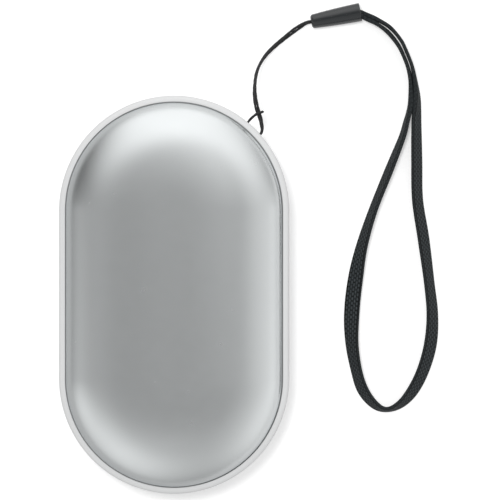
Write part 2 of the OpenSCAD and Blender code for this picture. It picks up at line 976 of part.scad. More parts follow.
module board_capacitors() {
    color("#b89a6a")
        lifted() {
            for (i = [0 : 3])
                on_board(small_capacitors[0][0] + small_capacitor_step * i,
                         small_capacitors[0][1] - end_y, small_capacitors[1]);
            for (i = [0, 1])
                on_board(large_capacitors[0][0] + large_capacitor_step * i,
                         large_capacitors[0][1] - end_y, large_capacitors[1]);
        }
}

module heater_switches() {
    color("#232527")
        lifted()
            for (i = [0, 1])
                on_board(heater_switch_x + i * (heater_switch_size[0] + heater_switch_gap),
                         heater_switch_y - end_y, heater_switch_size);
}

// Charging inlet

inlet_mouth_r = body_r - inlet_recess;
inlet_back_r = inlet_mouth_r - inlet_len;
inlet_back_wall = 0.4;

module inlet_shell() {
    color("#aeb2b5")
        lifted()
            at_end(0)
                difference() {
                    outward(inlet_back_r, inlet_mouth_r)
                        oblong(inlet_w, inlet_h);
                    outward(inlet_back_r + inlet_back_wall, inlet_mouth_r + past)
                        oblong(inlet_w - 2 * inlet_wall, inlet_h - 2 * inlet_wall);
                }
}

module inlet_tongue() {
    play = 0.03;
    core = 1.6;
    color("#202224")
        lifted()
            at_end(0) {
                outward(inlet_back_r + inlet_back_wall + play, inlet_back_r + inlet_back_wall + core)
                    oblong(inlet_w - 2 * inlet_wall - 2 * play, inlet_h - 2 * inlet_wall - 2 * play);
                outward(inlet_back_r + inlet_back_wall + play, inlet_mouth_r - tongue_set)
                    square([tongue_w, tongue_t], center = true);
            }
}

// Switch, button and lights

module switch_body() {
    slot_play = 0.1;
    depth = plunger_in + button_travel + 0.1;
    color("#2b2e30")
        lifted()
            at_end(-button_angle)
                difference() {
                    outward(switch_front_r - switch_size[1], switch_front_r)
                        translate([-switch_size[0] / 2, board_top_z])
                            square([switch_size[0], switch_size[2]]);
                    outward(switch_front_r - depth, switch_front_r + past)
                        square(plunger_size + 2 * [slot_play, slot_play], center = true);
                }
}

module switch_plunger() {
    color("#c8402f")
        lifted()
            at_end(-button_angle)
                outward(switch_front_r - plunger_in, switch_front_r + plunger_out)
                    square(plunger_size, center = true);
}

// The cap fills its opening, and wings behind the wall and a stem hold it and press the plunger
module power_button() {
    color("#e4e6e7")
        lifted()
            at_end(-button_angle) {
                intersection() {
                    outward(wing_r1 - wing_t, body_r + past)
                        oblong(button_w, button_h);
                    cylinder(r = body_r + button_proud, h = frame_h, center = true);
                }
                intersection() {
                    outward(wing_r1 - 2 * wing_t, body_r)
                        square([button_w + 2 * button_wing, button_h], center = true);
                    ring(wing_r1 - wing_t, wing_r1, button_h);
                }
                outward(switch_front_r + plunger_out, wing_r1 - wing_t / 2)
                    square(stem_size, center = true);
            }
}

guide_out_r = frame_in_r - 0.1;
led_out_r = board_r - 0.3;

module light_guide() {
    span = (light_count - 1) * light_step;
    half = tan(span / 2) * guide_out_r + light_d;
    color("#dfe9ee")
        lifted() {
            at_end(light_angle + span / 2)
                intersection() {
                    outward(led_out_r + led_gap, guide_out_r + past)
                        translate([-half, board_top_z + 0.2])
                            square([2 * half, 2 * channel_z - 0.4]);
                    ring(led_out_r + led_gap, guide_out_r, frame_h);
                }
            for (i = [0 : light_count - 1])
                at_end(light_angle + i * light_step)
                    outward(guide_out_r - guide_t, body_r - 0.2)
                        circle(d = light_d);
        }
}

module status_lights() {
    color("#f2efe0")
        lifted()
            for (i = [0 : light_count - 1])
                at_end(light_angle + i * light_step)
                    outward(led_out_r - led_size[1], led_out_r)
                        translate([-led_size[0] / 2, board_top_z])
                            square([led_size[0], led_size[2]]);
}

// Strap

// Point on the tunnel's own turn at the angle a, -90 at the lower hole and 90 at the upper one
function tunnel_point(a, z) =
    let (x = tunnel_x - tunnel_r * cos(a), y = tunnel_r * sin(a))
    [x * cos(tunnel_angle) - y * sin(tunnel_angle),
     end_y + x * sin(tunnel_angle) + y * cos(tunnel_angle), mid_z + z];

function through_tunnel(z) = [for (a = [-90 : 45 : 90]) tunnel_point(a, z)];

// Where a point on the bead's axis lies, s along it and side to its left
function bead_point(s, side) =
    let (run = s * cos(bead_rise))
    [bead_place[0] + run * cos(bead_turn) - side * sin(bead_turn),
     bead_place[1] + run * sin(bead_turn) + side * cos(bead_turn),
     bead_d1 / 2 * cos(bead_rise) + bead_swell + s * sin(bead_rise)];

// Radius of the bead, s from its small end
function bead_r(s) =
    let (share = s / bead_len)
    bead_d1 / 2 + (bead_d2 - bead_d1) / 2 * share + 4 * bead_swell * share * (1 - share);

// The route of one strand of the pair, on the side s of its middle
function strand(s) =
    let (middle = [for (q = cord_route) [q[0], q[1], q[2]]])
    [for (i = [0 : len(middle) - 1])
        let (way = heading(middle, i), left = unit([-way[1], way[0], 0]), turn = cord_route[i][3])
        middle[i] + s * cord_pitch / 2 * (cos(turn) * left + sin(turn) * cross(way, left))];

function reversed(p) = [for (i = [len(p) - 1 : -1 : 0]) p[i]];

// Where that strand comes to its end at the bead
function strand_end(s) =
    let (off = s * cord_pitch / 2)
    [for (run = [-1, 0]) bead_point(run, off * cos(cord_end_turn)) + [0, 0, off * sin(cord_end_turn)]];

// Bead, upper strand, tunnel, hitch round the pair, tunnel again and the lower strand to the bead
function cord_path() =
    let (up = concat(strand(1), strand_end(1)),
         down = concat(strand(-1), strand_end(-1)),
         over = [for (q = hitch_route) [q[0], q[1], mid_z + q[2]]],
         under = [for (i = [len(hitch_route) - 2 : -1 : 0])
                     [hitch_route[i][0], hitch_route[i][1], mid_z - hitch_route[i][2]]])
    concat(reversed(up), through_tunnel(cord_pitch / 2), over, under,
           reversed(through_tunnel(-cord_pitch / 2)), down);

module strap_cord() {
    color("#232426")
        tube(cord_path(), cord_d, 8, [0, 0, 1]);
}

module strap_bead() {
    side_r = bead_r(bead_round_r);
    color("#34383b")
        translate(bead_point(0, 0))
            rotate([0, 90 - bead_rise, bead_turn])
                rotate_extrude()
                    difference() {
                        union() {
                            polygon(concat(
                                [[0, 0], [side_r - bead_round_r, 0]],
                                [for (i = [0 : bead_rows])
                                    let (s = bead_round_r + (bead_len - bead_round_r) * i / bead_rows)
                                    [bead_r(s), s]],
                                [[0, bead_len]]));
                            translate([side_r - bead_round_r, bead_round_r])
                                circle(r = bead_round_r);
                        }
                        translate([0, bead_len - mouth_depth])
                            square([mouth_d / 2, mouth_depth + past]);
                    }
}

// Route of the band with its two gathered ends in the bead's mouth
function band_stations() =
    let (floor_at = bead_len - mouth_depth)
    concat([for (i = [0, 1])
               let (p = bead_point(floor_at + i * mouth_depth, i == 0 ? band_end_side[0] : band_rim_side[0]))
               [p[0], p[1], 90, band_end_w, p[2]]],
           band_route,
           [for (i = [1, 0])
               let (p = bead_point(floor_at + i * mouth_depth, i == 0 ? band_end_side[1] : band_rim_side[1]))
               [p[0], p[1], 90, band_end_w, p[2]]]);

// Half outline of the band's section: across its width and its thickness, as shares of each
band_section = [[1, 0.5], [0.9, 1], [-0.9, 1], [-1, 0.5], [-1, -0.5], [-0.9, -1], [0.9, -1], [1, -0.5]];

// The band stands on its lower edge, and its upper edge leans to the inside of the loop
function band_points() =
    let (q = band_stations(), n = len(q), plan = [for (s = q) [s[0], s[1]]])
    [for (i = [0 : n - 1])
        let (way = heading(plan, i), tilt = q[i][2], half_w = q[i][3] / 2, half_t = band_t / 2,
             w = [way[1] * cos(tilt), -way[0] * cos(tilt), sin(tilt)],
             t = cross([way[0], way[1], 0], w),
             in_mouth = i < 2 || i > n - 3,
             lift = in_mouth ? q[i][4] : half_w * sin(tilt) + half_t * abs(cos(tilt)))
        for (c = band_section)
            [q[i][0], q[i][1], lift] + half_w * c[0] * w + half_t * c[1] * t];

module strap_band() {
    p = band_points();
    color("#1f2022")
        polyhedron(points = p, faces = tube_faces(len(p) / 8, 8));
}

front_cover();
back_cover();
mid_frame();
front_seal();
back_seal();
chassis();
chassis_screws();
front_heater();
back_heater();
front_sensor();
back_sensor();
front_heater_leads();
back_heater_leads();
front_sensor_leads();
back_sensor_leads();
front_insulation();
back_insulation();
front_cell();
back_cell();
cell_tape();
cell_tabs();
protection_board();
battery_lead_red();
battery_lead_black();
main_board();
board_screws();
lead_sockets();
charger_chips();
boost_inductor();
board_capacitors();
heater_switches();
inlet_shell();
inlet_tongue();
switch_body();
switch_plunger();
power_button();
status_lights();
light_guide();
strap_cord();
strap_bead();
strap_band();
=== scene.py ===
"""Looks of a rechargeable hand warmer with a wrist strap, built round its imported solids.

Lengths are in metres. X is the width, Y the length and Z the height above the ground. The object
lies on its back cover, and the charging inlet, button and lights are at the -Y end.
"""

import logging
from dataclasses import dataclass
from enum import Enum
from math import atan, cos, hypot, pi, radians, sin, tau
from typing import ClassVar, Iterable, Sequence

import bmesh
import bpy
import numpy as np
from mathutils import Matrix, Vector


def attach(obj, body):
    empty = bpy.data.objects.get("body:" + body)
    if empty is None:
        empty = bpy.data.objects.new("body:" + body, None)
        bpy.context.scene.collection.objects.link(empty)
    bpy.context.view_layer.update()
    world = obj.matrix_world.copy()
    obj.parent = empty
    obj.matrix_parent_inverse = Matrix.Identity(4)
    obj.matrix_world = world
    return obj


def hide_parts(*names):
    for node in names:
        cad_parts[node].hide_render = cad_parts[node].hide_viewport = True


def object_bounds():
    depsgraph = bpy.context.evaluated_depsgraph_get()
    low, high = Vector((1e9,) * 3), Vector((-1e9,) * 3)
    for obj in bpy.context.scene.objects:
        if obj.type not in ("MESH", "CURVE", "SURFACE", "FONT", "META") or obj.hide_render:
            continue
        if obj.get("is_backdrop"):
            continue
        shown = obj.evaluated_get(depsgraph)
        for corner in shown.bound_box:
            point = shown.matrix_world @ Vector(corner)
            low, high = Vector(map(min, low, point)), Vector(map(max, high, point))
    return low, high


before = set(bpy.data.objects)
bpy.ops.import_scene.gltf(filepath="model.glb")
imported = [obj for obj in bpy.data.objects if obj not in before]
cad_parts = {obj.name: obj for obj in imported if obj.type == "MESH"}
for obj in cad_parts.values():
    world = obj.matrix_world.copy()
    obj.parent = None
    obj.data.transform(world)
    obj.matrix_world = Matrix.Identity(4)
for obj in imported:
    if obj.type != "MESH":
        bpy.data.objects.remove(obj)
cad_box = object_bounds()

log = logging.getLogger("hand_warmer")

Rows = np.ndarray
Pair = tuple[float, float]
Point = tuple[float, float, float]
Quad = tuple[float, float, float, float]
Color = tuple[float, float, float]
Shape = tuple[Rows, list[tuple[int, ...]]]
Mesh, Node, Tree = bpy.types.Mesh, bpy.types.Node, bpy.types.NodeTree
Socket = bpy.types.NodeSocket

MM = 0.001
WHITE = (1.0, 1.0, 1.0)
UV_MAP = "UVMap"
# Point attribute with the band's weave tone: painted sheen on the raised floats, painted shade
# between them, and darker selvages.
WEAVE_AND_SHEEN = "Weave"


# Node trees


class Graph:
    """Places and links the nodes of one tree."""

    def __init__(self, tree: Tree) -> None:
        """Takes a tree and empties it."""
        self.tree = tree
        tree.nodes.clear()

    def feed(self, socket: Socket, value: object) -> None:
        """Links a socket to another one, or sets its value; None leaves it as it is.

        Args:
            socket: The socket that is fed.
            value: The other socket, or the value, of which a colour has three parts.
        """
        if isinstance(value, Socket):
            self.tree.links.new(value, socket)
        elif value is not None:
            socket.default_value = (*value, 1.0) if socket.type == "RGBA" else value

    def add(self, kind: str, *inputs: object, named: dict[str, object] | None = None,
            **settings: object) -> Node:
        """Adds a node.

        Args:
            kind: The node's type.
            inputs: Values or sockets for its inputs, in their order.
            named: The same by the inputs' names.
            settings: Properties of the node, set before its inputs.

        Returns:
            The new node.
        """
        node = self.tree.nodes.new(kind)
        for key, value in settings.items():
            setattr(node, key, value)
        for socket, value in zip(node.inputs, inputs):
            self.feed(socket, value)
        for label, value in (named or {}).items():
            self.feed(node.inputs[label], value)
        return node

    def group(self, tree: Tree, values: dict[str, object]) -> Node:
        """Adds a group with values for its inputs and returns its node."""
        return self.add("ShaderNodeGroup", named=values, node_tree=tree)

    def math(self, operation: str, *inputs: object) -> Socket:
        """Adds a Math node and returns its result."""
        return self.add("ShaderNodeMath", *inputs, operation=operation).outputs[0]

    def product(self, value: object, *others: object) -> Socket:
        """Multiplies values and returns the result."""
        for other in others:
            value = self.math("MULTIPLY", value, other)
        return value

    def vector(self, operation: str, *inputs: object, **named: object) -> Socket:
        """Adds a Vector Math node and returns its result."""
        node = self.add("ShaderNodeVectorMath", *inputs, named=named, operation=operation)
        return node.outputs["Value" if operation == "DOT_PRODUCT" else "Vector"]

    def ramp(self, value: Socket, low: float, high: float, to_low: float = 0.0,
             to_high: float = 1.0) -> Socket:
        """Maps a value from one range to another, smoothly and clamped, and returns the result."""
        return self.add("ShaderNodeMapRange", value, low, high, to_low, to_high,
                        interpolation_type="SMOOTHSTEP").outputs[0]

    def blend(self, factor: object, first: object, second: object) -> Socket:
        """Mixes two colours by a factor and returns the result."""
        node = self.add("ShaderNodeMix", data_type="RGBA")
        for index, value in ((0, factor), (6, first), (7, second)):
            self.feed(node.inputs[index], value)
        return node.outputs[2]

    def place(self) -> Socket:
        """Adds the object's own coordinates and returns them."""
        return self.add("ShaderNodeTexCoord").outputs["Object"]

    def noise(self, place: Socket, scale: object, detail: float) -> Socket:
        """Adds a noise texture at a place and returns its value."""
        return self.add("ShaderNodeTexNoise", named={
            "Vector": place, "Scale": scale, "Detail": detail}).outputs["Fac"]

    def bevel(self, radius: float) -> Socket:
        """Adds the normal as it is with edges rounded to a radius, and returns it."""
        return self.add("ShaderNodeBevel", radius, samples=4).outputs[0]

    def swayed(self, noise: Socket, spread: Socket, middle: object) -> Socket:
        """Lets a value sway round its middle with a noise, and returns the result."""
        sway = self.math("SUBTRACT", noise, 0.5)
        return self.math("MULTIPLY_ADD", sway, self.product(spread, 2.0), middle)


class Kind(Enum):
    """Types of the sockets on a group."""

    VALUE = "NodeSocketFloat"
    COLOR = "NodeSocketColor"
    VECTOR = "NodeSocketVector"
    WHOLE = "NodeSocketInt"
    SHAPE = "NodeSocketGeometry"
    MATERIAL = "NodeSocketMaterial"


class Group(Graph):
    """The tree of a node group with named inputs and outputs."""

    def __init__(self, name: str, inputs: dict[Kind, str], outputs: dict[Kind, str],
                 family: str = "ShaderNodeTree") -> None:
        """Starts the group.

        Args:
            name: Its name.
            inputs: Names of its inputs by type, parted by commas.
            outputs: Names of its outputs, likewise.
            family: Type of the tree.
        """
        super().__init__(bpy.data.node_groups.new(name, family))
        for way, sockets in (("INPUT", inputs), ("OUTPUT", outputs)):
            for kind, labels in sockets.items():
                for label in labels.split(", "):
                    self.tree.interface.new_socket(label, in_out=way, socket_type=kind.value)
        self.given = {s.name: s for s in self.add("NodeGroupInput").outputs if s.name}
        self.out = self.add("NodeGroupOutput")

    def giving(self, **results: Socket) -> Tree:
        """Feeds the group's outputs by their names and returns its tree."""
        for label, value in results.items():
            self.feed(self.out.inputs[label], value)
        return self.tree

    def dressed(self, shape: Socket) -> Tree:
        """Ends a Geometry Nodes group: its shape is made real and takes the given finish."""
        real = self.add("GeometryNodeRealizeInstances", shape)
        ready = self.add("GeometryNodeSetMaterial", real.outputs[0],
                         named={"Material": self.given["Finish"]})
        return self.giving(Shape=ready.outputs[0])

    def captured(self, shape: Socket, **values: tuple[str, Socket]) -> Node:
        """Stores values on a shape's points.

        Args:
            shape: The shape.
            values: Type and socket of each value, by name.

        Returns:
            The node, with an output for each name.
        """
        node = self.add("GeometryNodeCaptureAttribute", shape, domain="POINT")
        for label, (kind, value) in values.items():
            node.capture_items.new(kind, label)
            self.feed(node.inputs[label], value)
        return node


class SharedEffects:
    """The effects that several finishes use, each a node group that is built once."""

    pit_scale = 1.7
    fine_scale = 5.0
    edge_r = 0.18 * MM
    edge_turn = (0.995, 0.90)
    edge_gaps = (0.42, 0.62)
    loose = (0.45, 0.75)

    def __init__(self) -> None:
        """Builds the groups."""
        self.grain = self._grain()
        self.mottle = self._mottle()
        self.rub = self._rub()
        self.thread = self._thread()

    def _grain(self) -> Tree:
        """Fine relief of a moulded or blasted surface: pits on a soft swell."""
        g = Group("Fine grain", {Kind.VALUE: "Scale, Pits"}, {Kind.VALUE: "Height"})
        place, scale = g.place(), g.given["Scale"]
        cells = g.add("ShaderNodeTexVoronoi", named={
            "Vector": place, "Scale": g.product(scale, self.pit_scale)})
        pits = g.product(cells.outputs["Distance"], g.given["Pits"])
        return g.giving(Height=g.math("ADD", g.noise(place, scale, 3.0), pits))

    def _mottle(self) -> Tree:
        """Slow changes of brightness and fine ones of roughness over a surface."""
        g = Group("Mottle", {Kind.COLOR: "Color", Kind.VALUE: "Spread, Scale, Roughness, Uneven"},
                  {Kind.COLOR: "Color", Kind.VALUE: "Roughness"})
        place, scale = g.place(), g.given["Scale"]
        gain = g.swayed(g.noise(place, scale, 3.0), g.given["Spread"], 1.0)
        fine = g.noise(place, g.product(scale, self.fine_scale), 4.0)
        return g.giving(Color=g.vector("SCALE", g.given["Color"], Scale=gain),
                        Roughness=g.swayed(fine, g.given["Uneven"], g.given["Roughness"]))

    def _rub(self) -> Tree:
        """Rubbed edges: the worn colour where an edge turns, broken up by noise."""
        g = Group("Rubbed edges", {Kind.COLOR: "Color, Worn", Kind.VALUE: "Amount, Scale"},
                  {Kind.COLOR: "Color"})
        flat = g.add("ShaderNodeNewGeometry").outputs["Normal"]
        turn = g.vector("DOT_PRODUCT", g.bevel(self.edge_r), flat)
        edge = g.ramp(turn, *self.edge_turn)
        broken = g.ramp(g.noise(g.place(), g.given["Scale"], 4.0), *self.edge_gaps)
        mask = g.product(edge, broken, g.given["Amount"])
        return g.giving(Color=g.blend(mask, g.given["Color"], g.given["Worn"]))

    def _thread(self) -> Tree:
        """Fine filaments that run along a thread, from its UV map: U round it, V along it."""
        g = Group("Filaments", {Kind.VALUE: "Around, Along, Twist"}, {Kind.VALUE: "Height, Fuzz"})
        uv = g.add("ShaderNodeUVMap", uv_map=UV_MAP).outputs[0]
        u, v, _ = g.add("ShaderNodeSeparateXYZ", uv).outputs
        turned = g.math("MULTIPLY_ADD", v, g.given["Twist"], u)
        place = g.add("ShaderNodeCombineXYZ", g.product(turned, g.given["Around"]),
                      g.product(v, g.given["Along"]))
        lines = g.noise(place.outputs[0], 1.0, 2.0)
        return g.giving(Height=lines, Fuzz=g.ramp(lines, *self.loose))


effects = SharedEffects()


# Finishes


def new_material(name: str) -> tuple[bpy.types.Material, Graph]:
    """Makes a material and returns it with the graph of its tree."""
    material = bpy.data.materials.new(name)
    material.use_nodes = True
    return material, Graph(material.node_tree)


@dataclass(frozen=True)
class Finish:
    """A surface finish: a base colour with slow and fine changes over it.

    Lengths are in metres and scales are per metre.
    """

    name: str
    color: Color
    roughness: float
    metallic: float = 0.0
    spread: float = 0.03
    patch: float = 70.0
    rough_spread: float = 0.05
    grain: float = 2500.0
    pits: float = 0.3
    depth: float = 0.004 * MM
    edge: float = 0.08 * MM
    worn: Color | None = None
    wear: float = 0.6
    wear_scale: float = 12.0
    coat: float = 0.0
    transmission: float = 0.0
    shine: float = 0.5
    low_angle: Color = WHITE
    made: ClassVar[dict[str, bpy.types.Material]] = {}

    def material(self) -> bpy.types.Material:
        """Builds the material the first time, and returns it."""
        if self.name not in self.made:
            self.made[self.name], g = new_material(self.name)
            color, roughness = self.tone(g)
            skin = g.add("ShaderNodeBsdfPrincipled", named={
                "Base Color": color, "Roughness": roughness, "Metallic": self.metallic,
                "Coat Weight": self.coat, "Transmission Weight": self.transmission,
                "Specular IOR Level": self.shine, "Specular Tint": self.low_angle,
                "Normal": self.relief(g)})
            g.add("ShaderNodeOutputMaterial", skin.outputs[0])
        return self.made[self.name]

    def tone(self, g: Graph) -> tuple[Socket, Socket]:
        """Adds the colour and the roughness.

        Args:
            g: Graph of the material.

        Returns:
            The colour and the roughness.
        """
        mottle = g.group(effects.mottle, {
            "Color": self.color, "Spread": self.spread, "Scale": self.patch,
            "Roughness": self.roughness, "Uneven": self.rough_spread})
        color = mottle.outputs["Color"]
        if self.worn:
            color = g.group(effects.rub, {
                "Color": color, "Worn": self.worn, "Amount": self.wear,
                "Scale": self.patch * self.wear_scale}).outputs["Color"]
        return color, mottle.outputs["Roughness"]

    def relief(self, g: Graph) -> Socket:
        """Adds the fine relief over softened edges, and returns the normal."""
        grain = g.group(effects.grain, {"Scale": self.grain, "Pits": self.pits})
        return self.bump(g, grain, g.bevel(self.edge) if self.edge else None)

    def bump(self, g: Graph, effect: Node, normal: Socket | None = None) -> Socket:
        """Turns an effect's height into relief on a normal, and returns the new normal."""
        return g.add("ShaderNodeBump", named={
            "Distance": self.depth, "Height": effect.outputs["Height"],
            "Normal": normal}).outputs[0]


@dataclass(frozen=True)
class ThreadFinish(Finish):
    """A textile finish whose filaments follow the piece's UV map."""

    around: float = 60.0
    along: float = 400.0
    twist: float = 0.0
    fuzz: Color = (0.034, 0.035, 0.037)
    # Range the weave attribute scales the colour over: from painted shade between the floats up to
    # painted sheen on them.
    weave: Pair | None = None

    def tone(self, g: Graph) -> tuple[Socket, Socket]:
        """Adds the colour and the roughness, with paler loose filaments and, where a weave range
        is given, painted sheen on the raised floats and painted shade between them.

        Args:
            g: Graph of the material.

        Returns:
            The colour and the roughness.
        """
        color, roughness = super().tone(g)
        color = g.blend(self._thread(g).outputs["Fuzz"], color, self.fuzz)
        if self.weave:
            # Painted sheen and shade: the weave attribute scales the colour up on the floats and
            # down between them.
            weave_sheen = g.add("ShaderNodeAttribute", attribute_name=WEAVE_AND_SHEEN).outputs["Fac"]
            color = g.vector("SCALE", color, Scale=g.ramp(weave_sheen, 0.0, 1.0, *self.weave))
        return color, roughness

    def relief(self, g: Graph) -> Socket:
        """Adds the filaments' relief and returns the normal."""
        return self.bump(g, self._thread(g))

    def _thread(self, g: Graph) -> Node:
        """Adds the group of filaments and returns its node."""
        return g.group(effects.thread, {
            "Around": self.around, "Along": self.along, "Twist": self.twist})


ALUMINIUM = Finish("Blasted aluminium", (0.775, 0.80, 0.805), 0.26, 1.0, spread=0.012,
                   rough_spread=0.03, grain=5200.0, pits=0.8, depth=0.0012 * MM, edge=0.0,
                   low_angle=(0.72, 0.74, 0.75))
WHITE_PLASTIC = Finish("White plastic", (0.645, 0.65, 0.652), 0.36, spread=0.01, grain=4200.0,
                       depth=0.0025 * MM, edge=0.12 * MM)
BEAD = Finish("Bead plastic", (0.0045, 0.0068, 0.0085), 0.19, spread=0.08, grain=3200.0,
              edge=0.1 * MM, shine=0.95)
CORD = ThreadFinish("Black cord", (0.011, 0.011, 0.012), 0.62, around=14.0, along=900.0,
                    twist=700.0, depth=0.03 * MM)
# The band's weave range paints sheen on its floats and shade between them.
BAND = ThreadFinish("Black woven band", (0.0128, 0.0152, 0.0162), 0.66, around=40.0,
                    along=2600.0, depth=0.03 * MM, shine=0.2, fuzz=(0.024, 0.028, 0.03),
                    weave=(0.12, 2.9))
CONTACT = Finish("Gold plate", (0.78, 0.6, 0.28), 0.25, 1.0, edge=0.0)

SOLIDS = {
    "front_seal": Finish("Seal rubber", (0.3, 0.305, 0.31), 0.6),
    "inlet_shell": Finish("Plated steel", (0.62, 0.63, 0.64), 0.28, 1.0, edge=0.06 * MM,
                          worn=(0.45, 0.44, 0.42)),
    "light_guide": Finish("Milky clear plastic", (0.83, 0.87, 0.88), 0.22, transmission=0.55),
    "chassis": Finish("Chassis plastic", (0.72, 0.73, 0.74), 0.5, depth=0.008 * MM),
    "chassis_screws": Finish("Zinc plate", (0.55, 0.56, 0.57), 0.35, 1.0, worn=(0.7, 0.68, 0.6)),
    "front_heater": Finish("Heater film", (0.55, 0.27, 0.07), 0.3, coat=0.3, spread=0.08),
    "front_sensor": Finish("Epoxy", (0.05, 0.05, 0.05), 0.3, spread=0.1),
    "front_heater_leads": Finish("Cream silicone", (0.75, 0.71, 0.6), 0.5),
    "front_sensor_leads": Finish("Grey silicone", (0.3, 0.31, 0.32), 0.5),
    "battery_lead_red": Finish("Red silicone", (0.5, 0.03, 0.03), 0.5),
    "battery_lead_black": Finish("Black silicone", (0.02, 0.02, 0.02), 0.5),
    "front_insulation": Finish("Closed foam", (0.06, 0.065, 0.07), 0.9, grain=1400.0, pits=1.0,
                               depth=0.08 * MM),
    "front_cell": Finish("Pouch foil", (0.62, 0.64, 0.66), 0.33, 0.9, spread=0.05, grain=500.0,
                         depth=0.04 * MM),
    "cell_tape": Finish("Double-sided tape", (0.8, 0.77, 0.62), 0.55),
    "cell_tabs": Finish("Nickel strip", (0.6, 0.59, 0.56), 0.3, 1.0, worn=(0.7, 0.66, 0.6)),
    "main_board": Finish("Solder mask", (0.02, 0.14, 0.06), 0.35, coat=0.4, spread=0.15),
    "lead_sockets": Finish("Socket plastic", (0.82, 0.79, 0.68), 0.42),
    "charger_chips": Finish("Chip resin", (0.02, 0.02, 0.022), 0.55, grain=3000.0,
                            depth=0.01 * MM),
    "boost_inductor": Finish("Ferrite", (0.05, 0.05, 0.055), 0.65, spread=0.12),
    "board_capacitors": Finish("Ceramic", (0.5, 0.36, 0.2), 0.4, spread=0.08),
    "switch_body": Finish("Switch plastic", (0.03, 0.03, 0.032), 0.45),
    "switch_plunger": Finish("Plunger plastic", (0.6, 0.08, 0.05), 0.4),
    "status_lights": Finish("Light resin", (0.9, 0.88, 0.75), 0.2, coat=0.5),
}
SAME_AS = {
    "board_screws": "chassis_screws",
    "protection_board": "main_board",
    "heater_switches": "charger_chips",
    "inlet_tongue": "charger_chips",
}


# Meshes


def totals(steps: Rows) -> Rows:
    """Running totals of steps, from zero."""
    return np.concatenate([[0], np.cumsum(steps)])


def run_of(points: Rows) -> Rows:
    """Distance of each point along the line through them."""
    return totals(np.linalg.norm(np.diff(points, axis=0), axis=1))


def smooth(values: Rows, steps: int) -> Rows:
    """Runs a smooth curve through rows of values.

    Args:
        values: Rows that the curve passes, each a point or any set of values.
        steps: Number of steps from one row to the next.

    Returns:
        The rows on the curve.
    """
    padded = np.vstack([2 * values[0] - values[1], values, 2 * values[-1] - values[-2]])
    share = (np.arange(steps) / steps)[:, None]
    rows = []
    for a, b, c, d in zip(padded, padded[1:], padded[2:], padded[3:]):
        rows.append(0.5 * (2 * b + (c - a) * share + (2 * a - 5 * b + 4 * c - d) * share ** 2
                           + (3 * b - a - 3 * c + d) * share ** 3))
    return np.vstack([*rows, values[-1:]])


def evened(rows: Rows, step: float) -> Rows:
    """Places rows at even distances along their first three columns.

    Args:
        rows: Rows on a curve.
        step: Distance between the new rows, about.

    Returns:
        The new rows.
    """
    run = run_of(rows[:, :3])
    places = np.linspace(0, run[-1], max(2, round(run[-1] / step) + 1))
    return np.column_stack([np.interp(places, run, column) for column in rows.T])


def loft(rings: Sequence[Rows]) -> Shape:
    """Joins closed rings of equal count into a skin with closed ends.

    Args:
        rings: Rings of points, in their order along the shape.

    Returns:
        The vertices and the faces.
    """
    n, m = len(rings), len(rings[0])
    faces: list[tuple[int, ...]] = [(i * m + j, i * m + (j + 1) % m, (i + 1) * m + (j + 1) % m,
                                     (i + 1) * m + j) for i in range(n - 1) for j in range(m)]
    faces += [tuple(range(m))[::-1], tuple(range((n - 1) * m, n * m))]
    return np.vstack(rings), faces


def joined(shapes: Sequence[Shape]) -> Shape:
    """Puts separate shapes into one."""
    verts: list[Rows] = []
    faces: list[tuple[int, ...]] = []
    start = 0
    for points, rows in shapes:
        verts.append(points)
        faces += [tuple(start + k for k in row) for row in rows]
        start += len(points)
    return np.vstack(verts), faces


def quarter(center: Pair, r: float, signs: Pair, steps: int) -> Rows:
    """Rows of a rounded corner, from level with its centre. Signs say which way it lies."""
    a = np.linspace(0, pi / 2, steps + 1)
    return center + r * np.array(signs) * np.column_stack([np.cos(a), np.sin(a)])


def rounded(r: float, degrees: Iterable[float]) -> list[Pair]:
    """How far in and how far down a rounded edge lies at angles from its top."""
    return [(r * (1 - sin(a)), r * (1 - cos(a))) for a in map(radians, degrees)]


def oblong(width: float, height: float, steps: int = 12) -> Rows:
    """Outline of a rounded slot, anticlockwise, its count the same for any size.

    Args:
        width: Width over its round ends.
        height: Height.
        steps: Steps on each quarter turn.

    Returns:
        Rows of place across and height.
    """
    r = height / 2
    a = np.linspace(-pi / 2, pi / 2, 2 * steps + 1)
    half = np.column_stack([(width - height) / 2 + r * np.cos(a), r * np.sin(a)])
    return np.vstack([half, -half])


def new_mesh(name: str, verts: Iterable, faces: Iterable = (), edges: Iterable = ()) -> Mesh:
    """Makes a mesh of places, faces and edges."""
    mesh = bpy.data.meshes.new(name)
    mesh.from_pydata([tuple(v) for v in verts], list(edges), [tuple(f) for f in faces])
    return mesh


def placed(name: str, data: bpy.types.ID) -> bpy.types.Object:
    """Puts data in the scene as a new object, and returns it."""
    new = bpy.data.objects.new(name, data)
    bpy.context.scene.collection.objects.link(new)
    return new


def evaluated(source: bpy.types.Object) -> Mesh:
    """Makes a plain mesh of an object with its modifiers applied."""
    ready = source.evaluated_get(bpy.context.evaluated_depsgraph_get())
    return bpy.data.meshes.new_from_object(ready)


def generated(mesh: Mesh, tree: Tree, **values: object) -> Mesh:
    """Runs a Geometry Nodes tree on a mesh and returns the plain result.

    Args:
        mesh: What the tree works on.
        tree: The tree.
        values: Its inputs by name.

    Returns:
        The new mesh.
    """
    holder = placed(tree.name, mesh)
    modifier = holder.modifiers.new(tree.name, "NODES")
    modifier.node_group = tree
    for item in tree.interface.items_tree:
        if item.item_type == "SOCKET" and item.in_out == "INPUT" and item.name in values:
            modifier[item.identifier] = values[item.name]
    result = evaluated(holder)
    bpy.data.objects.remove(holder)
    return result


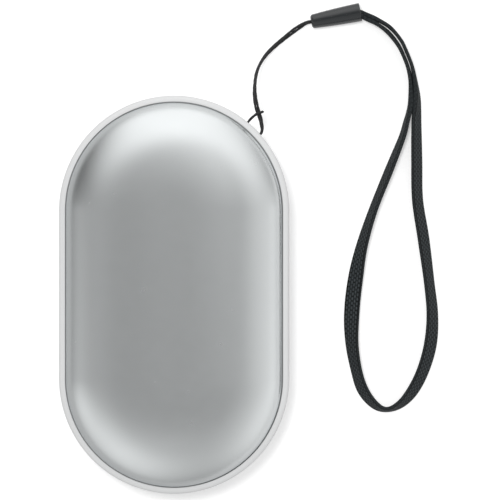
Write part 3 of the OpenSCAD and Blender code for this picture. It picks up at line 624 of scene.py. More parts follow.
class MeshPiece:
    """One finished piece: a mesh at the origin with a finish, on a body."""

    def __init__(self, name: str, mesh: Mesh) -> None:
        """Puts a mesh in the scene as the piece's object."""
        self.object = placed(name, mesh)

    @classmethod
    def of(cls, name: str, shape: Shape) -> "MeshPiece":
        """Makes a piece of vertices and faces."""
        return cls(name, new_mesh(name, *shape))

    def carved(self, operation: str, shapes: Sequence[Shape]) -> "MeshPiece":
        """Joins shapes to the piece, or cuts them out of it.

        Args:
            operation: UNION or DIFFERENCE.
            shapes: Closed shapes that don't meet each other.

        Returns:
            The piece.
        """
        tool = MeshPiece.of("carving_tool", joined(shapes)).closed()
        cut = self.object.modifiers.new("carving", "BOOLEAN")
        cut.operation, cut.solver, cut.object = operation, "MANIFOLD", tool.object
        mesh = evaluated(self.object)
        self.object.modifiers.remove(cut)
        self.object.data = mesh
        bpy.data.objects.remove(tool.object)
        return self

    def closed(self, near: float = 0.0001 * MM) -> "MeshPiece":
        """Merges doubled vertices, drops faces without area and turns all faces outwards.

        Args:
            near: How near to each other doubled vertices are.

        Returns:
            The piece.
        """
        work = bmesh.new()
        work.from_mesh(self.object.data)
        bmesh.ops.remove_doubles(work, verts=work.verts, dist=near)
        bmesh.ops.dissolve_degenerate(work, edges=work.edges, dist=near)
        bmesh.ops.recalc_face_normals(work, faces=work.faces)
        work.to_mesh(self.object.data)
        work.free()
        return self

    def shaded(self, sharp: float = 40.0) -> "MeshPiece":
        """Shades the piece smooth, but for edges that turn more than sharp degrees."""
        self.object.data.shade_smooth()
        self.object.data.set_sharp_from_angle(angle=radians(sharp))
        return self

    def finished(self, finish: Finish, slot: str, *nodes: str, body: str = "root") -> "MeshPiece":
        """Dresses the piece, replaces its solids and lets it ride.

        Args:
            finish: What it is finished with.
            slot: The record's material slot; not used.
            nodes: Names of the solids that it stands for.
            body: The body that it rides on.

        Returns:
            The piece.
        """
        self.object.data.materials.clear()
        self.object.data.materials.append(finish.material())
        if nodes:
            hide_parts(*nodes)
        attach(self.object, body)
        log.info("%s: %d faces", self.object.name, len(self.object.data.polygons))
        return self


# Casing


class Side(Enum):
    """The two sides of the casing, with the sign of their height."""

    FRONT = 1
    BACK = -1


class End(Enum):
    """The two ends of the casing, with the sign of their place along it."""

    STRAP = 1
    INLET = -1


@dataclass(frozen=True)
class CasingSizes:
    """Sizes of the casing. Heights are from its middle plane, and turns in degrees."""

    body_r: float = 30.5 * MM
    end_y: float = 22.25 * MM
    mid_z: float = 13.0 * MM
    cover_r: float = 28.5 * MM
    cover_wall: float = 0.9 * MM
    foot_z: float = 2.9 * MM
    skirt_h: float = 1.4 * MM
    inlet_turn: float = -90.0
    button_turn: float = -114.0
    tunnel_turn: float = 46.0
    arc_steps: int = 96
    side_steps: int = 24

    def ring(self, name: str, profile: Rows, closed: bool = True) -> MeshPiece:
        """Carries a profile round the body's outline.

        Args:
            name: Name of the piece.
            profile: Radius and height of each point, the height above the ground.
            closed: Whether the profile runs back to its start; one that does not starts and ends
                in the middle of the body.

        Returns:
            The closed piece.
        """
        stations = []
        for turn in (0.0, pi):
            y = self.end_y * cos(turn)
            for k in range(self.arc_steps):
                a = turn + pi * k / self.arc_steps
                stations.append((y, cos(a), sin(a)))
            for k in range(self.side_steps):
                stations.append((y * (1 - 2 * k / self.side_steps), -cos(turn), 0.0))
        n, m = len(stations), len(profile)
        y, cx, cy = (np.array(c)[:, None] for c in zip(*stations))
        r, z = profile[:, 0], profile[:, 1]
        grid = np.stack([cx * r, y + cy * r, np.broadcast_to(z, (n, m))], axis=2).reshape(-1, 3)
        faces = [(i * m + j, (i + 1) % n * m + j, (i + 1) % n * m + (j + 1) % m,
                  i * m + (j + 1) % m) for i in range(n) for j in range(m if closed else m - 1)]
        return MeshPiece.of(name, (grid, faces)).closed()


@dataclass(frozen=True)
class Cover:
    """A stamped aluminium cover: a crowned shell with a straight skirt and broken rim edges."""

    sizes: CasingSizes
    side: Side
    flat_r: float = 5.0 * MM
    shoulder_w: float = 13.0 * MM
    crown_tilt: float = radians(7)
    shoulder_tilt: float = radians(45)
    relax: float = 2.4 * MM
    relax_share: float = 0.45
    relax_times: int = 3
    rim_break: float = 0.15 * MM
    fine_rows: int = 3000
    rows: int = 110
    bend_rows: float = 1.3

    def outline(self) -> Rows:
        """Outer outline from the middle to the foot of the skirt, with evenly changing bends.

        Returns:
            Rows of radius, height from the middle plane, and slope.
        """
        s = self.sizes
        sin1, cos1 = sin(self.crown_tilt), cos(self.crown_tilt)
        sin2, cos2 = sin(self.shoulder_tilt), cos(self.shoulder_tilt)
        skirt_z = s.foot_z + s.skirt_h
        crown_r = (s.cover_r - self.shoulder_w - self.flat_r) / sin1
        fall = s.mid_z - crown_r * (1 - cos1) - skirt_z
        a, b, c, d = sin2 - sin1, 1 - sin2, cos1 - cos2, cos2
        det = a * d - b * c
        shoulder_r = (self.shoulder_w * d - b * fall) / det
        rim_r = (a * fall - c * self.shoulder_w) / det
        slopes = [0.0, 0.0, self.crown_tilt, self.shoulder_tilt, pi / 2]
        bends = [crown_r, shoulder_r, rim_r] * np.diff(slopes[1:])
        ends = totals([self.flat_r, *bends])
        run = np.linspace(0, ends[-1], self.fine_rows)
        slope = np.interp(run, ends, slopes)
        for _ in range(self.relax_times):
            slope = self._relaxed(run, slope)
        middle = (slope[1:] + slope[:-1]) / 2
        radius, drop = (totals(part(middle) * np.diff(run)) for part in (np.cos, np.sin))
        radius *= s.cover_r / radius[-1]
        height = s.mid_z - drop * (s.mid_z - skirt_z) / drop[-1]
        return np.column_stack([radius, height, slope])

    def _relaxed(self, run: Rows, slope: Rows) -> Rows:
        """Averages the slope over a window that narrows towards both ends of the run.

        Args:
            run: Places along the outline.
            slope: Slope at each.

        Returns:
            The averaged slope.
        """
        half = np.minimum(np.minimum(run, run[-1] - run) * self.relax_share, self.relax)
        total = totals((slope[1:] + slope[:-1]) / 2 * np.diff(run))
        low, high = (np.interp(run + way * half, run, total) for way in (-1, 1))
        wide = half > 0.0001 * MM
        return np.where(wide, (high - low) / np.where(wide, 2 * half, 1.0), slope)

    def build(self) -> MeshPiece:
        """Builds the shell, with its inner surface one wall further in."""
        s, k = self.sizes, self.rim_break
        fine = self.outline()
        weight = np.linspace(0, 1, len(fine)) + self.bend_rows * fine[:, 2] / (pi / 2)
        places = np.linspace(0, weight[-1], self.rows)
        r, z, slope = (np.interp(places, weight, column) for column in fine.T)
        inner = np.column_stack([r - s.cover_wall * np.sin(slope),
                                 z - s.cover_wall * np.cos(slope)])
        inner[0, 0] = 0.0
        profile = np.vstack([
            np.column_stack([r, z]), quarter((r[-1] - k, s.foot_z + k), k, (1, -1), 4),
            quarter((r[-1] - s.cover_wall + k, s.foot_z + k), k, (-1, -1), 4)[::-1],
            inner[::-2][:-1], inner[:1]])
        profile[:, 1] = s.mid_z + self.side.value * profile[:, 1]
        label = self.side.name.lower()
        piece = s.ring(f"{label}_cover_shell", profile, closed=False)
        return piece.shaded().finished(ALUMINIUM, "aluminium_shell", f"{label}_cover")


@dataclass(frozen=True)
class EndWall:
    """The frame's wall round one end of the body, as seen from outside in one direction."""

    sizes: CasingSizes
    end: End
    degrees: float
    overshoot: float = 0.4 * MM
    mouth_turns: tuple[int, ...] = (8, 8, 18, 28, 38, 48, 58, 68, 78, 90)

    def place(self, across: Rows, lift: Rows | float, out: Rows | float) -> Rows:
        """Places on the direction's own axes.

        Args:
            across: Places across the direction, anticlockwise about the height.
            lift: Heights above the middle plane.
            out: Distances from the end's centre along the direction.

        Returns:
            Rows of x, y and z.
        """
        c, s = cos(radians(self.degrees)), sin(radians(self.degrees))
        lift, out = (np.broadcast_to(v, np.shape(across)) for v in (lift, out))
        y = self.end.value * self.sizes.end_y
        return np.column_stack([out * c - across * s, y + out * s + across * c,
                                self.sizes.mid_z + lift])

    def reach(self, across: Rows | float, radius: float) -> Rows | float:
        """How far out a round wall stands at places across the direction."""
        return np.sqrt(radius ** 2 - across ** 2)

    def block(self, middle: float, width: float, lift: Pair, out: Pair) -> Shape:
        """A block on the direction's axes, between two heights and two distances out."""
        across = middle + width / 2 * np.array([-1, 1, 1, -1])
        return loft([self.place(across, np.repeat(lift, 2), r) for r in out])

    def mouth(self, outline: Rows, shift: float, rounding: float) -> list[Rows]:
        """Rings of an opening whose edge is rounded over the wall's outside.

        Args:
            outline: The opening, as places across and heights.
            shift: Place of its middle across the direction.
            rounding: Radius of the rounded edge.

        Returns:
            Rings from outside the wall to the end of the rounding.
        """
        way = np.roll(outline, -1, axis=0) - np.roll(outline, 1, axis=0)
        normal = np.column_stack([way[:, 1], -way[:, 0]])
        normal /= np.linalg.norm(normal, axis=1)[:, None]
        if np.sum(normal * outline) < 0:
            normal = -normal
        rings = []
        for k, (inset, depth) in enumerate(rounded(rounding, self.mouth_turns)):
            edge = outline + normal * inset
            across = edge[:, 0] + shift
            rings.append(self.place(across, edge[:, 1], self.reach(across, self.sizes.body_r)
                                    - (depth if k else -self.overshoot)))
        return rings

    def opening(self, outline: Rows, rounding: float, inner: float) -> Shape:
        """A cutter through the wall with a rounded outer edge, ending at an inner distance."""
        rings = self.mouth(outline, 0.0, rounding)
        return loft([*rings, self.place(*outline.T, inner)])


@dataclass(frozen=True)
class Tunnel:
    """The half ring in the frame's wall that the cord runs through."""

    wall: EndWall
    bore: float = 1.8 * MM
    bend_r: float = 2.25 * MM
    middle_r: float = 30.4 * MM
    mouth_r: float = 0.22 * MM
    cut_turns: tuple[float, float, int] = (-78, 78, 25)

    def place(self, degrees: Rows | float, off: Rows | float, lift: Rows | float) -> Rows:
        """Places at turns from the innermost one, off the line towards the bend's centre."""
        a, r = np.radians(degrees), self.bend_r - off
        return self.wall.place(r * np.sin(a), lift, self.middle_r - r * np.cos(a))

    def cutter(self) -> Shape:
        """The tunnel with a rounded mouth at each end."""
        disc = oblong(self.bore, self.bore)
        bend = [self.place(a, *disc.T) for a in np.linspace(*self.cut_turns)]
        far = self.wall.mouth(disc * [-1, 1], self.bend_r, self.mouth_r)
        return loft(self.wall.mouth(disc, -self.bend_r, self.mouth_r) + bend + far[::-1])


@dataclass(frozen=True)
class MidFrame:
    """The white ring between the covers: ledges, screw lugs, openings and the strap's tunnel."""

    sizes: CasingSizes
    tunnel: Tunnel
    half_h: float = 4.0 * MM
    inner_r: float = 28.8 * MM
    edge_r: float = 1.4 * MM
    inner_edge_r: float = 0.15 * MM
    ledge_r: float = 27.0 * MM
    ledge_z: Pair = (1.7 * MM, 2.6 * MM)
    ledge_overlap: float = 0.5 * MM
    lug: Point = (3.6 * MM, 4.4 * MM, 14.0 * MM)
    lug_overlap: float = 0.85 * MM
    pilot_d: float = 1.4 * MM
    boss: Point = (26.35 * MM, 29.65 * MM, 8.1 * MM)
    mouth_r: float = 0.22 * MM
    inlet: Pair = (9.34 * MM, 3.6 * MM)
    button: Pair = (7.8 * MM, 3.3 * MM)
    window: Pair = (1.3 * MM, 1.3 * MM)
    window_edge_r: float = 0.15 * MM
    window_turns: tuple[float, ...] = (-75, -71, -67, -63)

    def profile(self) -> Rows:
        """Outline of the ring's section, as radius and height above the ground."""
        s, e, k = self.sizes, self.edge_r, self.inner_edge_r
        low, high = self.ledge_z
        outer = quarter((s.body_r - e, self.half_h - e), e, (1, 1), 12)
        inner = quarter((self.inner_r + k, self.half_h - k), k, (-1, 1), 4)[::-1]
        ledge = np.array([[self.inner_r, high], [self.ledge_r + k, high],
                          [self.ledge_r, high - k], [self.ledge_r, low + k],
                          [self.ledge_r + k, low], [self.inner_r, low]])
        half = np.vstack([outer, inner, ledge])
        return np.vstack([half, half[::-1] * [1, -1]]) + [0, s.mid_z]

    def solids(self) -> list[Shape]:
        """The four screw lugs and the tunnel's boss, which stand between the ledges."""
        length, width, along = self.lug
        low, high = self.ledge_z
        out = (self.ledge_r - length, self.inner_r + self.lug_overlap)
        shapes = []
        for degrees, back in ((0, -self.sizes.end_y), (180, self.sizes.end_y)):
            wall = EndWall(self.sizes, End.STRAP, degrees)
            shapes += [wall.block(y + back, width, (-high, low), out) for y in (-along, along)]
        near, far, width = self.boss
        return shapes + [self.tunnel.wall.block(0.0, width, (-high, high), (near, far))]

    def cutters(self) -> list[Shape]:
        """Cutters for the openings, the tunnel and the pilot holes."""
        s = self.sizes
        mouths = [(s.inlet_turn, self.inlet, self.mouth_r),
                  (s.button_turn, self.button, self.mouth_r),
                  *((turn, self.window, self.window_edge_r) for turn in self.window_turns)]
        inner = self.ledge_r - self.ledge_overlap
        shapes = [EndWall(s, End.INLET, turn).opening(oblong(*size), edge_r, inner)
                  for turn, size, edge_r in mouths]
        shapes.append(self.tunnel.cutter())
        length, _, along = self.lug
        disc = oblong(self.pilot_d, self.pilot_d, 6)
        for x in (length / 2 - self.ledge_r, self.ledge_r - length / 2):
            for y in (-along, along):
                shapes.append(loft([np.insert(disc + [x, y], 2, s.mid_z + z, axis=1)
                                    for z in (-self.half_h, self.half_h)]))
        return shapes

    def build(self) -> MeshPiece:
        """Builds the ring and carves it."""
        piece = self.sizes.ring("mid_frame_shell", self.profile())
        piece.carved("UNION", self.solids()).carved("DIFFERENCE", self.cutters())
        return piece.closed().shaded(12).finished(WHITE_PLASTIC, "white_plastic", "mid_frame")


@dataclass(frozen=True)
class PowerButton:
    """The button's cap, softly dished, with the wings and the stem behind it."""

    wall: EndWall
    width: float = 7.5 * MM
    height: float = 3.0 * MM
    face_r: float = 30.65 * MM
    edge_r: float = 0.35 * MM
    dish: float = 0.1 * MM
    dish_end: float = 0.05 * MM
    dish_rings: int = 8
    overlap: float = 0.4 * MM
    wing_r: Pair = (27.85 * MM, 28.65 * MM)
    wing: float = 1.0 * MM
    wing_rings: int = 17
    stem: Pair = (2.2 * MM, 1.8 * MM)
    stem_r: Pair = (26.9 * MM, 28.25 * MM)

    def cap(self) -> Shape:
        """The cap, from its back to the middle of its face."""
        back = oblong(self.width, self.height)
        rings = [self.wall.place(*back.T, self.wing_r[0] + self.overlap)]
        steps = rounded(self.edge_r, range(90, -1, -15))
        for share in np.linspace(0.1, 1, self.dish_rings):
            steps.append((self.edge_r + share * (self.height / 2 - self.edge_r - self.dish_end),
                          self.dish * (1 - cos(pi * share)) / 2))
        for inset, drop in steps:
            edge = oblong(self.width - 2 * inset, self.height - 2 * inset)
            reach = self.wall.reach(edge[:, 0], self.face_r)
            rings.append(self.wall.place(*edge.T, reach - drop))
        return loft(rings)

    def wings(self) -> Shape:
        """The curved plate behind the frame's wall."""
        half, top = self.width / 2 + self.wing, self.height / 2
        rings = []
        for u in np.linspace(-half, half, self.wing_rings):
            low, high = (self.wall.reach(u, r) for r in self.wing_r)
            rings.append(self.wall.place(np.full(4, u), np.array([-top, -top, top, top]),
                                         np.array([low, high, high, low])))
        return loft(rings)

    def build(self) -> MeshPiece:
        """Builds the button, which rides on its own body."""
        width, height = self.stem
        stem = self.wall.block(0.0, width, (-height / 2, height / 2), self.stem_r)
        piece = MeshPiece.of("button_cap", self.cap()).closed()
        piece.carved("UNION", [self.wings()]).carved("UNION", [stem])
        return piece.closed().shaded(25).finished(WHITE_PLASTIC, "white_plastic", "power_button",
                                                  body="button")


@dataclass(frozen=True)
class TongueContacts:
    """The plated contact strips on both faces of the inlet's tongue."""

    wall: EndWall
    count: int = 12
    pitch: float = 0.5 * MM
    strip: Point = (0.26 * MM, 3.6 * MM, 0.04 * MM)
    middle_r: float = 26.3 * MM
    face: float = 0.35 * MM

    def tree(self) -> Tree:
        """Builds the tree that sets strips side by side, a set on each of its points."""
        g = Group("Contact strips", {Kind.SHAPE: "Places", Kind.WHOLE: "Count",
                                     Kind.VALUE: "Pitch", Kind.VECTOR: "Strip",
                                     Kind.MATERIAL: "Finish"},
                  {Kind.SHAPE: "Shape"}, "GeometryNodeTree")
        count, pitch = g.given["Count"], g.given["Pitch"]
        reach = g.product(g.math("SUBTRACT", count, 1.0), pitch)
        start = g.add("ShaderNodeCombineXYZ", g.product(reach, -0.5))
        step = g.add("ShaderNodeCombineXYZ", pitch)
        line = g.add("GeometryNodeMeshLine", mode="OFFSET", named={
            "Count": count, "Start Location": start.outputs[0], "Offset": step.outputs[0]})
        shape = g.add("GeometryNodeMeshCube", g.given["Strip"]).outputs["Mesh"]
        for points in (line.outputs[0], g.given["Places"]):
            shape = g.add("GeometryNodeInstanceOnPoints", named={
                "Points": points, "Instance": shape}).outputs[0]
        return g.dressed(shape)

    def build(self) -> MeshPiece:
        """Builds the strips of both faces as one piece."""
        faces = np.array([self.face, -self.face])
        places = new_mesh("contact_places", self.wall.place(np.zeros(2), faces, self.middle_r))
        made = generated(places, self.tree(), Count=self.count, Pitch=self.pitch,
                         Strip=self.strip, Finish=CONTACT.material())
        return MeshPiece("tongue_contacts", made).finished(CONTACT, "nickel")


# Strap


@dataclass(frozen=True)
class Bead:
    """The moulded bead: tapered and slightly swelled, with a parting line on both sides.

    It lies on its side, with its small end at place.
    """

    length: float = 13.6 * MM
    small_d: float = 3.6 * MM
    big_d: float = 4.9 * MM
    swell: float = 0.12 * MM
    place: Pair = (36.6 * MM, 73.45 * MM)
    turn: float = radians(11)
    round_r: float = 0.8 * MM
    hole: Pair = (0.95 * MM, 0.5 * MM)
    hole_edge_r: float = 0.15 * MM
    mouth_d: float = 4.1 * MM
    mouth_depth: float = 0.8 * MM
    mouth_edge: float = 0.05 * MM
    rim_r: float = 0.22 * MM
    seam: float = 0.035 * MM
    seam_width: float = radians(5)
    sides: int = 144
    rows: int = 30

    @property
    def rise(self) -> float:
        """Angle between the bead's axis and the ground."""
        return atan((self.big_d - self.small_d) / 2 / self.length)

    def point(self, along: float, side: float = 0.0) -> Point:
        """Place on the axis or beside it.

        Args:
            along: Distance along the axis from the small end.
            side: Distance to its left.

        Returns:
            The place.
        """
        run, c, s = along * cos(self.rise), cos(self.turn), sin(self.turn)
        height = self.small_d / 2 * cos(self.rise) + self.swell + along * sin(self.rise)
        return (self.place[0] + run * c - side * s, self.place[1] + run * s + side * c, height)

    def radius(self, along: float) -> float:
        """Radius of the bead's outside, along its axis from the small end."""
        share = along / self.length
        return ((self.small_d + (self.big_d - self.small_d) * share) / 2
                + 4 * self.swell * share * (1 - share))

    def profile(self) -> list[Point]:
        """Place along the axis, radius and share of the parting line, from hole to mouth."""
        hole_r, hole_depth = self.hole
        rows = [(hole_depth, 0.0, 0.0), (hole_depth, hole_r, 0.0), (self.hole_edge_r, hole_r, 0.0)]
        rows += [(along, hole_r + out, 0.0)
                 for along, out in rounded(self.hole_edge_r, range(15, 91, 15))]
        rows += [(along, self.radius(self.round_r) - inset, 1 - inset / self.round_r)
                 for inset, along in rounded(self.round_r, range(0, 90, 9))]
        side = np.linspace(self.round_r, self.length - self.rim_r, self.rows).tolist()
        rows += [(along, self.radius(along), 1.0) for along in side]
        rows += [(self.length - back, self.radius(self.length) - inset, back / self.rim_r)
                 for back, inset in rounded(self.rim_r, range(15, 91, 15))]
        r, edge, floor = self.mouth_d / 2, self.mouth_edge, self.length - self.mouth_depth
        return rows + [(self.length, r + edge, 0.0), (self.length - edge, r, 0.0),
                       (floor, r, 0.0), (floor, 0.0, 0.0)]

    def build(self) -> MeshPiece:
        """Builds the bead round its axis."""
        start = np.array(self.point(0.0))
        axis = np.array(self.point(self.length)) - start
        axis /= np.linalg.norm(axis)
        left = np.array([-sin(self.turn), cos(self.turn), 0.0])
        up = np.cross(axis, left)
        around = np.linspace(0, tau, self.sides, endpoint=False)
        off = np.minimum(np.abs((around + pi / 2) % pi - pi / 2), self.seam_width)
        ridge = self.seam * (1 + np.cos(pi * off / self.seam_width)) / 2
        rings = []
        for along, radius, share in self.profile():
            r = np.maximum(radius, 1e-9) + ridge * share
            rings.append(start + along * axis + np.outer(r * np.cos(around), left)
                         + np.outer(r * np.sin(around), up))
        piece = MeshPiece.of("tapered_bead", loft(rings)).closed(0.001 * MM).shaded(35)
        return piece.finished(BEAD, "bead_plastic", "strap_bead")


@dataclass(frozen=True)
class ThinCord:
    """The thin cord: doubled from the bead to the casing, with a hitch round its own pair.

    Its routes are in millimetres: x, y and height of the pair's middle with its turn in degrees,
    and x, y and height above the middle plane for the hitch.
    """

    bead: Bead
    tunnel: Tunnel
    diameter: float = 0.7 * MM
    pitch: float = 0.76 * MM
    step: float = 0.09 * MM
    curve_steps: int = 12
    end_turn: float = radians(70)
    pair: tuple[Quad, ...] = (
        (23.3, 43.6, 13, 76), (23.2, 45.2, 13, 62), (22.8, 47, 13, 45), (21.9, 49.8, 12.9, 32),
        (21.4, 53, 12, 48), (21.4, 56, 10.1, 70), (21.8, 59, 7.7, 73), (22.8, 61.8, 5.2, 80),
        (24.5, 64.5, 3, 66), (26.8, 66.9, 1.6, 54), (29.5, 69.2, 0.8, 46), (32.2, 71.3, 0.8, 25),
        (34.4, 72.7, 1.4, 50))
    hitch: tuple[Point, ...] = (
        (20.4, 46.8, 0.6), (21.3, 47.6, 1), (22.3, 48.2, 1.15), (23.2, 48.5, 0.9), (23.5, 48.6, 0))

    def strand(self, side: int) -> Rows:
        """Route of one strand of the pair, from the tunnel to the bead.

        Args:
            side: 1 for the left strand and -1 for the right one.

        Returns:
            Its points.
        """
        middle = np.array([q[:3] for q in self.pair]) * MM
        off = side * self.pitch / 2
        points = []
        for i, (*_, turn) in enumerate(self.pair):
            way = middle[min(i + 1, len(middle) - 1)] - middle[max(i - 1, 0)]
            way /= np.linalg.norm(way)
            left = np.array([-way[1], way[0], 0.0]) / hypot(way[0], way[1])
            points.append(middle[i] + off * (cos(radians(turn)) * left
                                             + sin(radians(turn)) * np.cross(way, left)))
        for run in (-1 * MM, 0.0):
            x, y, z = self.bead.point(run, off * cos(self.end_turn))
            points.append((x, y, z + off * sin(self.end_turn)))
        return np.array(points)

    def route(self) -> Rows:
        """Points of the whole cord, from the bead and back to it."""
        over = np.array(self.hitch) * MM
        middle = [0.0, 0.0, self.tunnel.wall.sizes.mid_z]
        through, back = (self.tunnel.place(np.arange(-90, 91, 45), 0.0, side * self.pitch / 2)
                         for side in (1, -1))
        return np.vstack([self.strand(1)[::-1], through, middle + over,
                          middle + over[-2::-1] * [1, 1, -1], back[::-1], self.strand(-1)])

    def build(self, holder: MeshPiece) -> MeshPiece:
        """Args:
            holder: The bead that holds it; not used.

        Returns:
            The cord.
        """
        line = evened(smooth(self.route(), self.curve_steps), self.step)
        length = run_of(line)[-1]
        piece = MeshPiece("thin_cord", BraidedTube(self.diameter).along(line)).shaded(180)
        piece.finished(CORD, "cord_black", "strap_cord")
        self.bead.point(0.0)
        log.info("thin cord: %.1f mm long", length / MM)
        return piece


@dataclass(frozen=True)
class BraidedTube:
    """A round braid made by Geometry Nodes along a line: ridges wind both ways and cross."""

    diameter: float
    strands: float = 4.0
    pitch: float = 2.2 * MM
    relief: float = 0.055 * MM
    blur: float = 0.3
    sides: int = 24

    def tree(self) -> Tree:
        """Builds the tree that turns a line of edges into the braid."""
        g = Group("Round braid", {Kind.SHAPE: "Line", Kind.WHOLE: "Sides",
                                  Kind.VALUE: "Radius, Relief, Pitch, Strands, Blur",
                                  Kind.MATERIAL: "Finish"},
                  {Kind.SHAPE: "Shape"}, "GeometryNodeTree")
        curve = g.add("GeometryNodeMeshToCurve", g.given["Line"]).outputs[0]
        spline = g.add("GeometryNodeSplineParameter").outputs
        place = g.add("GeometryNodeInputPosition").outputs[0]
        path = g.captured(curve, Run=("FLOAT", spline["Length"]), Middle=("VECTOR", place)).outputs
        circle = g.add("GeometryNodeCurvePrimitiveCircle", mode="RADIUS", named={
            "Resolution": g.given["Sides"], "Radius": g.given["Radius"]})
        ring = g.captured(circle.outputs["Curve"], Share=("FLOAT", spline["Factor"])).outputs
        swept = g.add("GeometryNodeCurveToMesh", path["Geometry"], ring["Geometry"],
                      named={"Fill Caps": True})
        phase = g.product(g.math("DIVIDE", path["Run"], g.given["Pitch"]), tau)
        angle = g.product(ring["Share"], tau, g.given["Strands"])
        right, left = (g.math("SINE", g.math(way, angle, phase)) for way in ("ADD", "SUBTRACT"))
        high = g.math("SMOOTH_MAX", right, left, g.given["Blur"])
        lift = g.product(g.math("SUBTRACT", high, 1.0), g.given["Relief"])
        outward = g.vector("NORMALIZE", g.vector("SUBTRACT", place, path["Middle"]))
        moved = g.add("GeometryNodeSetPosition", swept.outputs[0], named={
            "Offset": g.vector("SCALE", outward, Scale=lift)})
        uv = g.add("ShaderNodeCombineXYZ", ring["Share"], path["Run"])
        mapped = g.add("GeometryNodeStoreNamedAttribute", data_type="FLOAT2", domain="CORNER",
                       named={"Geometry": moved.outputs[0], "Name": UV_MAP,
                              "Value": uv.outputs[0]})
        return g.dressed(mapped.outputs[0])

    def along(self, line: Rows) -> Mesh:
        """Makes the braid's mesh along a line of points."""
        edges = [(i, i + 1) for i in range(len(line) - 1)]
        return generated(new_mesh("braid_line", line, edges=edges), self.tree(),
                         Radius=self.diameter / 2, Relief=self.relief, Pitch=self.pitch,
                         Strands=self.strands, Blur=self.blur, Sides=self.sides,
                         Finish=CORD.material())


